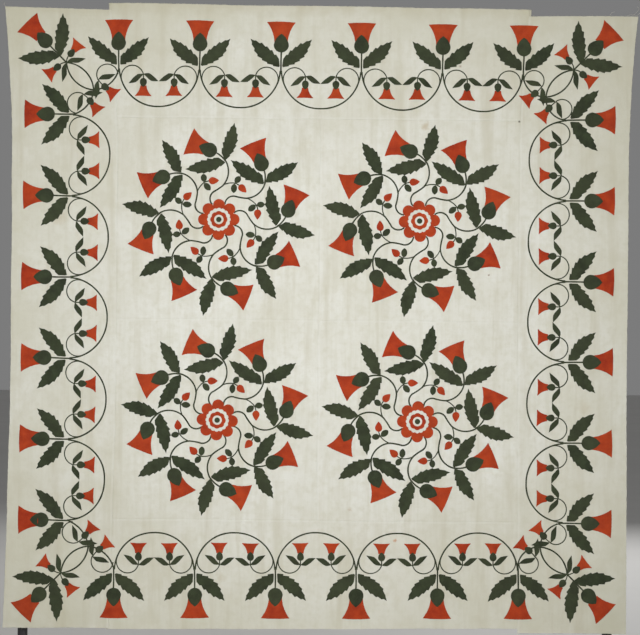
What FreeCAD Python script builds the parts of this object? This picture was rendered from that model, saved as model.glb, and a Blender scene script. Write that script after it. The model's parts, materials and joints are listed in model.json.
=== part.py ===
"""Applique quilt top hanging by a back sleeve from a telescoping display rack.

Millimetres.  +Z is up, +X runs along the rail and the quilt faces -Y.
The origin is the middle of the footprint, on the floor.
"""
import FreeCAD, Part
import math
import os

os.makedirs("parts", exist_ok=True)
V = FreeCAD.Vector

# ---------------------------------------------------------------- driving dimensions
QUILT_MID_Z = 1238.0        # height of the middle of the quilt
BLOCK = 702.0               # finished side of one of the four blocks
CENTRE_SEAM = 4.0           # the upright seam between the blocks sits off centre
SIDE_BORDER = {"left": 367.0, "right": 376.0}
TOP_BORDER = {"left": 395.0, "right": 385.0}        # the raw top edge runs down to the right
BOTTOM_BORDER = {"left": 384.0, "right": 370.0}
SIDE_ENDS = {"left": (1087.0, 1077.0, -1087.0), "right": (1070.0, 1068.0, -1091.0)}
GROUND_T = 1.0              # muslin with its turned seam allowances
PATCH_T = 0.5               # one layer of applique

RAIL_D = 28.0
RAIL_Z = 2266.0
RAIL_HALF = 1062.0
TUBE_WALL = 1.5
MAST_X = 1030.0             # masts stand under the ends of the rail
MAST_Y = 60.0               # and behind it, clear of the quilt
OUTER_D = 35.0
INNER_D = 30.0
OUTER_TOP = 1250.0
INNER_BOTTOM = 700.0
CRADLE_BASE = 2222.0        # top of the inner mast tube
FOOT_LENGTH = 640.0
FOOT_W = 60.0
FOOT_H = 30.0
FOOT_LIFT = 10.0            # thickness of the rubber under the foot bar
SPREADER_Z = 300.0
SPREADER_D = 25.0
RUN = 0.3                   # running clearance between pieces that move

SLEEVE_HALF = 985.0
SLEEVE_T = 0.8
SLEEVE_R = RAIL_D / 2 + 0.7             # inside of the sleeve where it rides on the rail
RAIL_BACK = SLEEVE_R + SLEEVE_T         # rail axis behind the back face of the quilt
LEAN = math.asin(RAIL_BACK / (RAIL_Z - QUILT_MID_Z))    # puts the quilt's weight under the rail

LAYER_STEM = GROUND_T
LAYER_PATCH = LAYER_STEM + PATCH_T
LAYER_CALYX = LAYER_PATCH + PATCH_T
LAYER_HEART = LAYER_CALYX + PATCH_T
LAYER_EYE = LAYER_HEART + PATCH_T

# Corner pull: how far the hung corners stand outside the sides.
FLARE_TOP = 28.0
FLARE_BOTTOM_LEFT = 22.0
FLARE_BOTTOM_RIGHT = 9.0
FLARE_TOP_FROM = 600.0
FLARE_BOTTOM_FROM = 100.0
FLARE_REACH = 488.0
FLARE_BOTTOM_REACH = 990.0

STEM_W = 6.0
TENDRIL_W = 4.4
SCRAP = 20.0                            # smaller offcuts of stem, in cubic millimetres, are dropped
BIG_CALYX = (51.0, 66.0)                # width, length
SMALL_CALYX = (25.0, 32.0)
BIG_BELL = (23.0, 48.5, 70.0)           # half neck, half mouth, height
SMALL_BELL = (10.0, 28.5, 37.0)
LEAF_W = 52.0
LEAFLET_W = 17.0
SPRIG_LEAF_W = 20.0
BUD = (25.0, 36.0)

BRANCHES = 8
FIRST_BRANCH = 84.5                     # polar angle of the first branch's leaf joint
WREATH_SHIFT = (2.7, -2.1)              # the wreaths sit off the middle of their blocks
PETAL_RING = 51.5
PETAL_R = 20.5
RING_R = 37.5
RING_LOBE = 3.5
HEART_R = 27.0
HEART_LOBE = 3.0
CORE_R = 16.5
EYE_R = 10.0

FLOWERS = 6
FORK = 174.0                            # height of the fork where a flower's stem leaves the vine
FLOWER_DROP = 5.2                       # the big flowers stand that much nearer the seam than drawn
# Each border's name, the way it faces, its small lean, how far its motifs stand out and slide along,
# the pitch of its flowers, and where the corner at its clockwise end has its seam corner.
BORDER_MOTIFS = (("top", 90.0, -0.36, -13.3, -0.3, 283.0, (BLOCK - 3.5, BLOCK - 9.5)),
                 ("left", 180.0, -0.47, -16.2, -6.0, 284.2, (7.0 - BLOCK, BLOCK + 1.5)),
                 ("bottom", 270.0, 0.35, -6.0, 2.8, 283.6, (-1.7 - BLOCK, -4.0 - BLOCK)),
                 ("right", 0.0, 0.0, -16.5, -1.0, 282.4, (BLOCK - 9.0, 7.0 - BLOCK)))


def save(name, *shapes):
    """Write one node."""
    solids = [solid for shape in shapes for solid in shape.Solids]
    shape = solids[0] if len(solids) == 1 else Part.makeCompound(solids)
    if not shape.isValid():
        print("invalid", name)
    shape.exportStep("parts/" + name + ".step")
    print(name, len(solids), round(shape.Volume))


# ---------------------------------------------------------------- quilt plane
def hang(u, v):
    """Flat layout point (u right, v up, from the middle) to its place on the hung quilt."""
    side = min(1.0, abs(u) / BLOCK) ** 2
    if v > 0:
        pull = FLARE_TOP * (max(0.0, v - FLARE_TOP_FROM) / FLARE_REACH) ** 1.5
    else:
        flare = FLARE_BOTTOM_LEFT if u < 0 else FLARE_BOTTOM_RIGHT
        pull = flare * (max(0.0, -v - FLARE_BOTTOM_FROM) / FLARE_BOTTOM_REACH) ** 1.5
    return V(u + math.copysign(side * pull, u), v, 0)


def onto_quilt(shape):
    """Stand a shape drawn in the quilt plane up in its hung place."""
    turn = FreeCAD.Rotation(V(1, 0, 0), 90 + math.degrees(LEAN))
    stand = FreeCAD.Placement(V(0, 0, QUILT_MID_Z), turn)
    shape.Placement = stand.multiply(shape.Placement)
    return shape


def edge(start, via, end):
    """Arc through three points, or a line where they are in line."""
    if via is None:
        return Part.makeLine(start, end)
    bow = (via - start).cross(end - start).Length / (end - start).Length
    if bow < 0.02:
        return Part.makeLine(start, end)
    return Part.Arc(start, via, end).toShape()


def face_of(points):
    """Face from (point, via, point, via ...): each via shapes the edge that follows."""
    edges = []
    count = len(points) // 2
    for i in range(count):
        edges.append(edge(points[2 * i], points[2 * i + 1], points[2 * (i + 1) % len(points)]))
    return Part.Face(Part.Wire(edges))


def patch(face, layer, thickness=PATCH_T):
    """Thin plate of cloth standing on a layer of the quilt."""
    plate = face.extrude(V(0, 0, thickness))
    plate.translate(V(0, 0, layer))
    return onto_quilt(plate)


class Frame:
    """Local drawing frame: origin, direction of its +y, and mirror."""

    def __init__(self, origin, angle_deg, outer=None, mirror=1):
        self.origin = origin
        self.turn = math.radians(angle_deg - 90)
        self.outer = outer
        self.mirror = mirror

    def flat(self, x, y):
        x = x * self.mirror
        u = self.origin[0] + x * math.cos(self.turn) - y * math.sin(self.turn)
        v = self.origin[1] + x * math.sin(self.turn) + y * math.cos(self.turn)
        return self.outer.flat(u, v) if self.outer else (u, v)

    def at(self, x, y):
        u, v = self.flat(x, y)
        return V(u, v, 0)

    def local(self, point):
        """A point of the quilt in this frame, which has no outer frame and no mirror."""
        x, y = point[0] - self.origin[0], point[1] - self.origin[1]
        cos, sin = math.cos(self.turn), math.sin(self.turn)
        return x * cos + y * sin, y * cos - x * sin


def heading(start, end):
    return math.degrees(math.atan2(end[1] - start[1], end[0] - start[0]))


# ---------------------------------------------------------------- applique outlines
def drop_face(frame, width, length):
    """Calyx or bud: round at the base, pointed at the tip, base at the frame's origin."""
    waist = 0.4 * length
    half = width / 2
    return face_of([
        frame.at(-half, waist), frame.at(0, 0),
        frame.at(half, waist), frame.at(0.66 * half, 0.74 * length),
        frame.at(0, length), frame.at(-0.66 * half, 0.74 * length)])


def bell_face(frame, neck, mouth, height):
    """Trumpet flower: concave sides from the neck to a gently bowed mouth."""
    middle = neck + 0.33 * (mouth - neck)
    return face_of([
        frame.at(-neck, 0), None,
        frame.at(neck, 0), frame.at(middle, 0.55 * height),
        frame.at(mouth, height), frame.at(0, 1.05 * height),
        frame.at(-mouth, height), frame.at(-middle, 0.55 * height)])


def leaf_face(frame, base, tip, width):
    """Leaf from base to tip, widest in the middle."""
    length = math.dist(base, tip)
    leaf = Frame(base, heading(base, tip), frame)
    return face_of([
        leaf.at(0, 0), leaf.at(width / 2, 0.5 * length),
        leaf.at(0, length), leaf.at(-width / 2, 0.5 * length)])


def band_face(frame, start, via, end, width):
    """Stem of even width along an arc."""
    a = frame.at(*start)
    m = frame.at(*via)
    b = frame.at(*end)
    centre = Part.Arc(a, m, b).toShape().Curve.Center
    half = width / 2

    def offset(point, shift):
        out = point - centre
        return centre + out * ((out.Length + shift) / out.Length)

    return face_of([
        offset(a, half), offset(m, half),
        offset(b, half), None,
        offset(b, -half), offset(m, -half),
        offset(a, -half), None])


def join_stems(faces, sewn):
    """One flat plate for each connected group of stems, butted against stems sewn before."""
    bars = [face.extrude(V(0, 0, PATCH_T)) for face in faces]
    joined = bars[0].multiFuse(bars[1:]).removeSplitter()
    if sewn:
        joined = joined.cut(sewn)
    return [solid for solid in joined.Solids if solid.Volume > SCRAP]


def stem_patches(solids):
    """Copies of flat stem plates standing in their layer of the quilt."""
    patches = []
    for solid in solids:
        plate = solid.copy()
        plate.translate(V(0, 0, LAYER_STEM))
        patches.append(onto_quilt(plate))
    return patches


def lobed_face(centre, ring, lobe, count, phase=0.0):
    """Scalloped disc: equal arcs that bulge out from a ring of notches."""
    points = []
    for i in range(count):
        notch = math.radians(phase + 360.0 / count * (i - 0.5))
        crest = math.radians(phase + 360.0 / count * i)
        points.append(V(centre[0] + ring * math.cos(notch), centre[1] + ring * math.sin(notch), 0))
        reach = ring + lobe
        points.append(V(centre[0] + reach * math.cos(crest), centre[1] + reach * math.sin(crest), 0))
    return face_of(points)


def disc_face(centre, radius):
    return Part.Face(Part.Wire(Part.makeCircle(radius, V(*centre, 0))))


class Group:
    """Flowers, leaves and stems that are sewn on one block or one border."""

    def __init__(self):
        self.flowers = []
        self.leaves = []
        self.stems = []

    def bell(self, frame, foot, mouth, size, calyx):
        """Bell and the calyx that covers its neck, aimed from foot to mouth."""
        neck, half, height = size
        width, length = calyx
        aim = heading(foot, mouth)
        cup = Frame(foot, aim, frame)
        bell = Frame(flower_foot(mouth, aim, height), aim, frame)
        self.flowers.append(patch(bell_face(bell, neck, half, height), LAYER_PATCH))
        self.leaves.append(patch(drop_face(cup, width, length), LAYER_CALYX))

    def leaf(self, frame, base, tip, width, layer=LAYER_PATCH):
        self.leaves.append(patch(leaf_face(frame, base, tip, width), layer))

    def save(self, name, last, sewn=()):
        """Write the three nodes, and give back the flat stem plates."""
        save(name + "_flowers", *self.flowers)
        save(name + "_leaves", *self.leaves)
        plates = join_stems(self.stems, list(sewn))
        save(name + "_" + last, *stem_patches(plates))
        return plates


def flower_foot(mouth, aim, height):
    """Middle of the neck of a bell whose mouth and aim are known."""
    back = math.radians(aim)
    return (mouth[0] - height * math.cos(back), mouth[1] - height * math.sin(back))


# ---------------------------------------------------------------- wreath of one block
def wreath_branch(group, frame):
    """One of eight curled branches: two leaves, a bell flower and a budded sprig."""
    joint = (210, 0)
    group.stems += [
        band_face(frame, (50, 28), (74, 38), (96, 27), STEM_W),
        band_face(frame, (95, 28), (107, 12), (123, -5), STEM_W),
        band_face(frame, (121, -3), (163, -17), joint, STEM_W),
        band_face(frame, (206, -2), (221, 14), (232, 35), STEM_W),
        band_face(frame, (124, -6), (131, -24), (133, -43), TENDRIL_W),
        band_face(frame, (133, -40), (131, -50), (126, -60), TENDRIL_W)]
    group.bell(frame, (231, 32), (260.5, 132), BIG_BELL, BIG_CALYX)
    group.leaf(frame, (213, -1), (341, -20), LEAF_W)
    group.leaf(frame, (205, 1), (163, 135), LEAF_W)
    group.leaf(frame, (134, -44), (158, -60), SPRIG_LEAF_W)
    group.leaf(frame, (131, -42), (98, -42), SPRIG_LEAF_W)
    bud = Frame((127, -59), heading((129, -56), (105, -86)), frame)
    group.flowers.append(patch(drop_face(bud, *BUD), LAYER_PATCH))


def wreath(name, centre):
    """Rosette and its eight branches, whorled the same way on every block."""
    group = Group()
    for branch in range(BRANCHES):
        wreath_branch(group, Frame(centre, 90 + FIRST_BRANCH - 360.0 / BRANCHES * branch))
    petals = lobed_face(centre, PETAL_RING + 2, PETAL_R - 2, BRANCHES)
    stems = [stem.cut(disc_face(centre, PETAL_RING + 1)) for stem in group.stems]
    group.stems = [face for stem in stems for face in stem.Faces]
    group.flowers.append(patch(petals, LAYER_PATCH))
    group.flowers.append(patch(lobed_face(centre, HEART_R, HEART_LOBE, BRANCHES), LAYER_HEART))
    group.leaves.append(patch(disc_face(centre, EYE_R), LAYER_EYE + PATCH_T))
    group.save(name, "stems")
    ring = patch(lobed_face(centre, RING_R, RING_LOBE, 2 * BRANCHES), LAYER_CALYX)
    core = patch(disc_face(centre, CORE_R), LAYER_EYE)
    return [ring, core]


# ---------------------------------------------------------------- border strips
def border_flower(group, frame):
    """Upright flower with its leaves, standing on the fork of two scallops."""
    group.stems.append(band_face(frame, (0.5, 171), (0, 210), (0.5, 250), STEM_W))
    group.bell(frame, (0, 245), (0, 351), BIG_BELL, BIG_CALYX)
    for side in (-1, 1):
        group.leaf(frame, (5.5 * side, 197), (107 * side, 291), LEAF_W)


def small_flower(group, frame, side):
    """Nodding flower on a curled tendril, inside a scallop."""
    knot = (88 * side, 157)
    group.stems += [
        band_face(frame, (13 * side, 150), (47 * side, 188), knot, TENDRIL_W),
        band_face(frame, (87.5 * side, 160), (88 * side, 150), (87.7 * side, 141), TENDRIL_W)]
    group.bell(frame, (87.7 * side, 145), (87.7 * side, 82), SMALL_BELL, SMALL_CALYX)
    group.leaf(frame, (85 * side, 157), (35 * side, 124), LEAFLET_W)
    group.leaf(frame, (91 * side, 159), (141 * side, 134), LEAFLET_W)


def scallop(group, frame, pitch):
    """Half-round vine from one fork to the next."""
    half = pitch / 2
    group.stems += [
        band_face(frame, (-half + 2, 176), (-half + 46, 82), (0, 46), STEM_W),
        band_face(frame, (0, 46), (half - 46, 82), (half - 2, 176), STEM_W)]


def corner(group, frame, forks):
    """Corner spray, symmetric about the diagonal: x and y run outwards from the seam corner.

    forks are the quilt places where its two vines meet the nearest border flowers.
    """
    fork = (187, 187)
    meet = (92, 92)
    group.stems.append(band_face(frame, fork, (216, 216.2), (246, 246), STEM_W))
    group.bell(frame, (243, 243), (326, 326), BIG_BELL, BIG_CALYX)
    for side, place in zip((1, -1), forks):
        half = Frame((0, 0), 90 if side > 0 else 0, frame, side)
        join = frame.local(place)[::side]
        group.leaf(half, (203, 219), (200, 358), LEAF_W)
        group.leaf(half, (184, 190), (119, 202), LEAFLET_W)
        group.bell(half, (180, 208), (141, 257), SMALL_BELL, SMALL_CALYX)
        group.leaf(half, (75, 130), (17, 149), LEAFLET_W)
        group.leaf(half, (77, 122), (84, 60), LEAFLET_W, LAYER_PATCH if side > 0 else LAYER_CALYX)
        group.bell(half, (64, 112), (15, 72), SMALL_BELL, SMALL_CALYX)
        group.stems += [
            band_face(half, fork, (186, 198), (179, 212), TENDRIL_W),
            band_face(half, fork, (121, 156), meet, STEM_W),
            band_face(half, join, (25, 126), meet, STEM_W),
            band_face(half, (join[0] + 3, 147), (45, 183), (77, 127), TENDRIL_W),
            band_face(half, (77, 129), (70, 119), (62, 111), TENDRIL_W)]


def end_fork(row, end):
    """Foot of the first (end -1) or last (end 1) flower of a border, on the quilt."""
    _, angle, lean, lift, slide, pitch, _ = row
    along = slide + end * pitch * (FLOWERS - 1) / 2
    return Frame((0, 0), angle + lean).flat(along, BLOCK + lift + FORK)


def border(row, following, sewn):
    """Running vine of one border and the spray in the corner before the border that follows."""
    name, angle, lean, lift, slide, pitch, seam_corner = row
    group = Group()
    strip = Frame((0, 0), angle + lean)
    for i in range(FLOWERS):
        along = slide + pitch * (i - (FLOWERS - 1) / 2)
        border_flower(group, Frame((along, BLOCK + lift - FLOWER_DROP), 90, strip))
        unit = Frame((along, BLOCK + lift), 90, strip)
        if i > 0:
            small_flower(group, unit, -1)
            scallop(group, Frame((along - pitch / 2, BLOCK + lift), 90, strip), pitch)
        if i < FLOWERS - 1:
            small_flower(group, unit, 1)
    corner(group, Frame(seam_corner, angle), (end_fork(row, 1), end_fork(following, -1)))
    return group.save("vine_" + name, "vines", sewn)


# ---------------------------------------------------------------- ground cloth
def ground(name, points):
    save(name, patch(face_of(points), 0.0, GROUND_T))


def on_seam(corner_point, seam_end, level):
    """Point of a border seam at a given height, which may lie past its end."""
    share = (level - corner_point.y) / (seam_end.y - corner_point.y)
    return corner_point + (seam_end - corner_point) * share


def side_border(name, sign):
    """Tall strip with stepped ends; gives back the seam points its neighbours share."""
    high, step, low = SIDE_ENDS[name]
    side = BLOCK + SIDE_BORDER[name]
    top = BLOCK + TOP_BORDER[name]
    foot = -BLOCK - BOTTOM_BORDER[name]
    seam_top = hang(sign * BLOCK, top)
    seam_foot = hang(sign * BLOCK, foot)
    corner_top = V(sign * BLOCK, BLOCK, 0)
    corner_foot = V(sign * BLOCK, -BLOCK, 0)
    ground("border_" + name, [
        on_seam(corner_top, seam_top, step), None, corner_top, None, corner_foot, None,
        on_seam(corner_foot, seam_foot, low), None,
        hang(sign * side, low), hang(sign * side, -560.0),
        V(sign * side, FLARE_TOP_FROM / 2, 0), hang(sign * side, 820.0),
        hang(sign * side, high), None])
    return seam_top, corner_top, corner_foot, seam_foot


def quilt_ground():
    """Four blocks and four border strips that meet edge to edge along their seams."""
    for row, v in (("top", BLOCK), ("bottom", -BLOCK)):
        for column, u in (("left", -BLOCK), ("right", BLOCK)):
            ground(row + "_" + column + "_block", [
                V(CENTRE_SEAM, 0, 0), None, V(u, 0, 0), None, V(u, v, 0), None, V(CENTRE_SEAM, v, 0), None])
    left = side_border("left", -1)
    right = side_border("right", 1)
    ground("border_top", [left[0], None, left[1], None, right[1], None, right[0], None])
    ground("border_bottom", [left[2], None, left[3], None, right[3], None, right[2], None])


def hanging_sleeve():
    """Rod pocket sewn to the back: its rear layer goes over the rail and down behind it."""
    rail_v = (RAIL_Z - QUILT_MID_Z) * math.cos(LEAN)

    def pocket(radius, high, low, front):
        """Rail circle drawn out to two stitch lines on the quilt's back, as (v, w) points."""
        points = []
        for level, sign in ((high, 1), (low, -1)):
            across = -RAIL_BACK - front
            reach = math.hypot(level, across)
            spread = math.acos(radius / reach)
            toward = math.atan2(front + RAIL_BACK, level)
            angle = toward - sign * spread
            points.append((radius * math.cos(angle), -RAIL_BACK + radius * math.sin(angle)))
        top, bottom = points
        back = -RAIL_BACK - radius

        def out(v, w):
            return V(-SLEEVE_HALF, rail_v + v, w)

        return face_of([out(low, front), None, out(high, front), None,
                        out(*top), out(0, back), out(*bottom), None])

    shell = pocket(SLEEVE_R + SLEEVE_T, 34.0, -58.0, 0.0)
    hollow = pocket(SLEEVE_R, 27.0, -48.0, -SLEEVE_T)
    ring = shell.cut(hollow)
    save("hanging_sleeve", onto_quilt(ring.extrude(V(2 * SLEEVE_HALF, 0, 0))))


# ---------------------------------------------------------------- rack
def rod(radius, start, end):
    """Round bar between two points."""
    way = end - start
    return Part.makeCylinder(radius, way.Length, start, way)


def tube(outer, wall, start, end):
    return rod(outer / 2, start, end).cut(rod(outer / 2 - wall, start, end))


def box(low, high):
    return Part.makeBox(high[0] - low[0], high[1] - low[1], high[2] - low[2], V(*low))


def rail():
    """Two tube halves on a joiner, closed by end caps."""
    axis_z = RAIL_Z
    for name, sign in (("left", -1), ("right", 1)):
        save("rail_" + name, tube(RAIL_D, TUBE_WALL, V(0, 0, axis_z), V(sign * RAIL_HALF, 0, axis_z)))
    bore = RAIL_D - 2 * TUBE_WALL
    save("rail_joiner", tube(bore, 2.0, V(-120, 0, axis_z), V(120, 0, axis_z)))
    caps = []
    for sign in (-1, 1):
        end = sign * RAIL_HALF
        plug = rod(bore / 2, V(end - sign * 25, 0, axis_z), V(end, 0, axis_z))
        button = rod(RAIL_D / 2, V(end, 0, axis_z), V(end + sign * 5, 0, axis_z))
        rim = max(button.Edges, key=lambda item: abs(item.CenterOfMass.x))
        caps.append(plug.fuse(button.makeFillet(2.0, [rim])))
    save("rail_end_caps", *caps)


PIVOT_Y = 24.0
PIVOT_Z = RAIL_Z + 6.0
PIN_R = 2.0
EAR_IN = 8.7
EAR_OUT = 12.0


def cradle(name, x):
    """Saddle under the rail on an arm from the top of the mast, with the latch's pin."""
    tube_bore = INNER_D / 2 - TUBE_WALL
    plug = rod(tube_bore, V(x, MAST_Y, CRADLE_BASE - 45), V(x, MAST_Y, CRADLE_BASE))
    cap = rod(19.0, V(x, MAST_Y, CRADLE_BASE), V(x, MAST_Y, CRADLE_BASE + 10))
    arm = box((x - EAR_OUT, -10.0, CRADLE_BASE + 8), (x + EAR_OUT, MAST_Y + 12, CRADLE_BASE + 24))
    saddle = box((x - EAR_OUT, -14.2, CRADLE_BASE + 20), (x + EAR_OUT, 19.5, RAIL_Z + 1))
    lip = box((x - 20, -20.0, RAIL_Z - 7), (x + 20, 0.0, RAIL_Z + 20))
    ears = box((x - EAR_OUT, 17.5, RAIL_Z - 14), (x + EAR_OUT, PIVOT_Y + 6, PIVOT_Z + 6))
    slot = box((x - EAR_IN, 17.0, RAIL_Z - 15), (x + EAR_IN, PIVOT_Y + 10, PIVOT_Z + 10))
    seat = rod(RAIL_D / 2 + 0.1, V(x - 20, 0, RAIL_Z), V(x + 20, 0, RAIL_Z))
    body = plug.fuse([cap, arm, saddle, ears]).cut([lip, slot, seat])
    pin = rod(PIN_R, V(x - EAR_OUT - 1, PIVOT_Y, PIVOT_Z), V(x + EAR_OUT + 1, PIVOT_Y, PIVOT_Z))
    save(name, body.fuse(pin))


def keeper(name, x):
    """Latch that closes over the rail, hinged on the pin behind it."""
    near = RAIL_D / 2 + 0.6
    far = near + 3.0
    half = EAR_IN - RUN
    hoop = rod(far, V(x - half, 0, RAIL_Z), V(x + half, 0, RAIL_Z))
    hoop = hoop.cut(rod(near, V(x - half, 0, RAIL_Z), V(x + half, 0, RAIL_Z)))
    hoop = hoop.cut(box((x - 20, -30, RAIL_Z - 30), (x + 20, 30, RAIL_Z + 9)))
    hoop = hoop.cut(box((x - 20, -30, RAIL_Z), (x + 20, -9, RAIL_Z + 30)))
    link = box((x - half, 13.5, RAIL_Z + 6), (x + half, PIVOT_Y, RAIL_Z + 10))
    knuckle = rod(4.5, V(x - half, PIVOT_Y, PIVOT_Z), V(x + half, PIVOT_Y, PIVOT_Z))
    tab = box((x - half, PIVOT_Y, PIVOT_Z + 1.5), (x + half, PIVOT_Y + 14, PIVOT_Z + 4.5))
    inside = rod(near, V(x - half, 0, RAIL_Z), V(x + half, 0, RAIL_Z))
    bore = rod(PIN_R + 0.06, V(x - 20, PIVOT_Y, PIVOT_Z), V(x + 20, PIVOT_Y, PIVOT_Z))
    save(name, hoop.fuse([link, knuckle, tab]).cut([inside, bore]))


COLLAR_LOW = OUTER_TOP - 34.0
COLLAR_HIGH = OUTER_TOP + 26.0
SCREW_Z = OUTER_TOP + 13.0
SCREW_R = 4.0


def masts():
    """Outer tube with its flange, inner tube with its stop ring, locking collar and knob."""
    foot_top = FOOT_LIFT + FOOT_H
    rings = []
    for side, x in (("left", -MAST_X), ("right", MAST_X)):
        low = V(x, MAST_Y, foot_top + RUN)
        outer = tube(OUTER_D, TUBE_WALL, V(x, MAST_Y, foot_top + 6), V(x, MAST_Y, OUTER_TOP))
        flange = rod(34.0, low, V(x, MAST_Y, foot_top + 8))
        insert = rod(OUTER_D / 2 - TUBE_WALL, low, V(x, MAST_Y, foot_top + 46))
        thread = rod(5.0, V(x, MAST_Y, 0), V(x, MAST_Y, foot_top + 36))
        save("mast_outer_" + side, outer.fuse([flange, insert]).cut(thread))
        save("mast_inner_" + side,
             tube(INNER_D, TUBE_WALL, V(x, MAST_Y, INNER_BOTTOM), V(x, MAST_Y, CRADLE_BASE)))
        ring_low = COLLAR_HIGH + RUN
        ring = tube(INNER_D + 10, 5.0, V(x, MAST_Y, ring_low), V(x, MAST_Y, ring_low + 12))
        rings.append(ring)

        collar = rod(24.0, V(x, MAST_Y, COLLAR_LOW), V(x, MAST_Y, COLLAR_HIGH))
        boss = rod(9.0, V(x, MAST_Y, SCREW_Z), V(x, MAST_Y + 34, SCREW_Z))
        collar = collar.fuse(boss)
        collar = collar.cut(rod(OUTER_D / 2, V(x, MAST_Y, COLLAR_LOW), V(x, MAST_Y, OUTER_TOP)))
        collar = collar.cut(rod(INNER_D / 2 + 0.15, V(x, MAST_Y, 0), V(x, MAST_Y, COLLAR_HIGH)))
        screw_way = rod(SCREW_R + 0.1, V(x, MAST_Y, SCREW_Z), V(x, MAST_Y + 40, SCREW_Z))
        save("collar_" + side, collar.cut(screw_way))

        tip = MAST_Y + INNER_D / 2 + RUN
        grip = MAST_Y + 36.0
        screw = rod(SCREW_R, V(x, tip, SCREW_Z), V(x, grip + 2, SCREW_Z))
        hub = rod(12.0, V(x, grip, SCREW_Z), V(x, grip + 18, SCREW_Z))
        lobes = []
        for i in range(3):
            turn = math.radians(90 + 120 * i)
            at = V(x + 14 * math.cos(turn), grip, SCREW_Z + 14 * math.sin(turn))
            lobes.append(rod(7.0, at, at + V(0, 18, 0)))
        save("lock_knob_" + side, screw.fuse([hub] + lobes))
    save("stop_rings", *rings)


def feet():
    """Foot bars that swivel on bolts under the masts, with rubber end caps on the floor."""
    top = FOOT_LIFT + FOOT_H
    bolts = []
    for side, x in (("left", -MAST_X), ("right", MAST_X)):
        low = (x - FOOT_W / 2, -FOOT_LENGTH / 2 + 6, FOOT_LIFT)
        high = (x + FOOT_W / 2, FOOT_LENGTH / 2 - 6, top)
        wall = 2.0
        bar = box(low, high)
        long_edges = [item for item in bar.Edges if abs(item.tangentAt(0).y) > 0.99]
        bar = bar.makeFillet(4.0, long_edges)
        hollow = box((low[0] + wall, low[1] - 1, low[2] + wall),
                     (high[0] - wall, high[1] + 1, high[2] - wall))
        way = rod(5.0 + RUN, V(x, MAST_Y, 0), V(x, MAST_Y, top + 5))
        save("foot_" + side, bar.cut([hollow, way]))
        caps = []
        for sign in (-1, 1):
            outer_y = sign * FOOT_LENGTH / 2
            inner_y = outer_y - sign * 66
            shoe = box((x - FOOT_W / 2 - 2, min(outer_y, inner_y), 0),
                       (x + FOOT_W / 2 + 2, max(outer_y, inner_y), top + 2))
            upright = [item for item in shoe.Edges if abs(item.tangentAt(0).z) > 0.99
                       and abs(item.CenterOfMass.y - outer_y) < 1]
            shoe = shoe.makeFillet(8.0, upright)
            caps.append(shoe.cut(bar))
        save("foot_caps_" + side, *caps)
        shank = rod(5.0, V(x, MAST_Y, FOOT_LIFT - 3), V(x, MAST_Y, top + 34))
        head = rod(9.0, V(x, MAST_Y, FOOT_LIFT - 7), V(x, MAST_Y, FOOT_LIFT - RUN))
        bolts.append(shank.fuse(head))
    save("pivot_bolts", *bolts)


def spreader():
    """Cross tube between the outer masts, on clamps with a stub at each end."""
    clamps = []
    bolts = []
    stub_r = SPREADER_D / 2 - TUBE_WALL
    inner = MAST_X - OUTER_D / 2 - 6
    for sign in (-1, 1):
        x = sign * MAST_X
        clamp = rod(OUTER_D / 2 + 6, V(x, MAST_Y, SPREADER_Z - 18), V(x, MAST_Y, SPREADER_Z + 18))
        stub = rod(stub_r, V(x, MAST_Y, SPREADER_Z), V(sign * (inner - 50), MAST_Y, SPREADER_Z))
        hole = rod(OUTER_D / 2, V(x, MAST_Y, SPREADER_Z - 20), V(x, MAST_Y, SPREADER_Z + 20))
        at = sign * (inner - 30)
        across = rod(3.0, V(at, MAST_Y - 20, SPREADER_Z), V(at, MAST_Y + 20, SPREADER_Z))
        clamps.append(clamp.fuse(stub).cut([hole, across]))
        shank = rod(3.0, V(at, MAST_Y - 13.5, SPREADER_Z), V(at, MAST_Y + 13.5, SPREADER_Z))
        head = rod(5.5, V(at, MAST_Y + 12.6, SPREADER_Z), V(at, MAST_Y + 16, SPREADER_Z))
        nut = rod(5.5, V(at, MAST_Y - 16, SPREADER_Z), V(at, MAST_Y - 12.6, SPREADER_Z))
        bolts.append(shank.fuse([head, nut]))
    end = inner - 0.5
    bar = tube(SPREADER_D, TUBE_WALL, V(-end, MAST_Y, SPREADER_Z), V(end, MAST_Y, SPREADER_Z))
    save("spreader_tube", bar.cut(bolts))
    save("spreader_clamps", *clamps)
    save("spreader_bolts", *bolts)


# ---------------------------------------------------------------- build
rail()
for side_name, mast_x in (("left", -MAST_X), ("right", MAST_X)):
    cradle("cradle_" + side_name, mast_x)
    keeper("keeper_" + side_name, mast_x)
masts()
feet()
spreader()
quilt_ground()
hanging_sleeve()
ring_patches = []
for row_name, row_sign in (("top", 1), ("bottom", -1)):
    for column_name, column_sign in (("left", -1), ("right", 1)):
        middle = (column_sign * BLOCK / 2 + WREATH_SHIFT[0], row_sign * BLOCK / 2 + WREATH_SHIFT[1])
        ring_patches += wreath(row_name + "_" + column_name + "_wreath", middle)
save("rosette_rings", *ring_patches)
sewn_vines = []
for number, border_row in enumerate(BORDER_MOTIFS):
    sewn_vines += border(border_row, BORDER_MOTIFS[number - 1], sewn_vines)
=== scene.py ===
"""Looks of the applique quilt top that hangs by its sleeve from a telescoping display rack."""
import json
import math

import bpy
import numpy as np
from mathutils import Matrix, Vector
from mathutils.geometry import delaunay_2d_cdt

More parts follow.
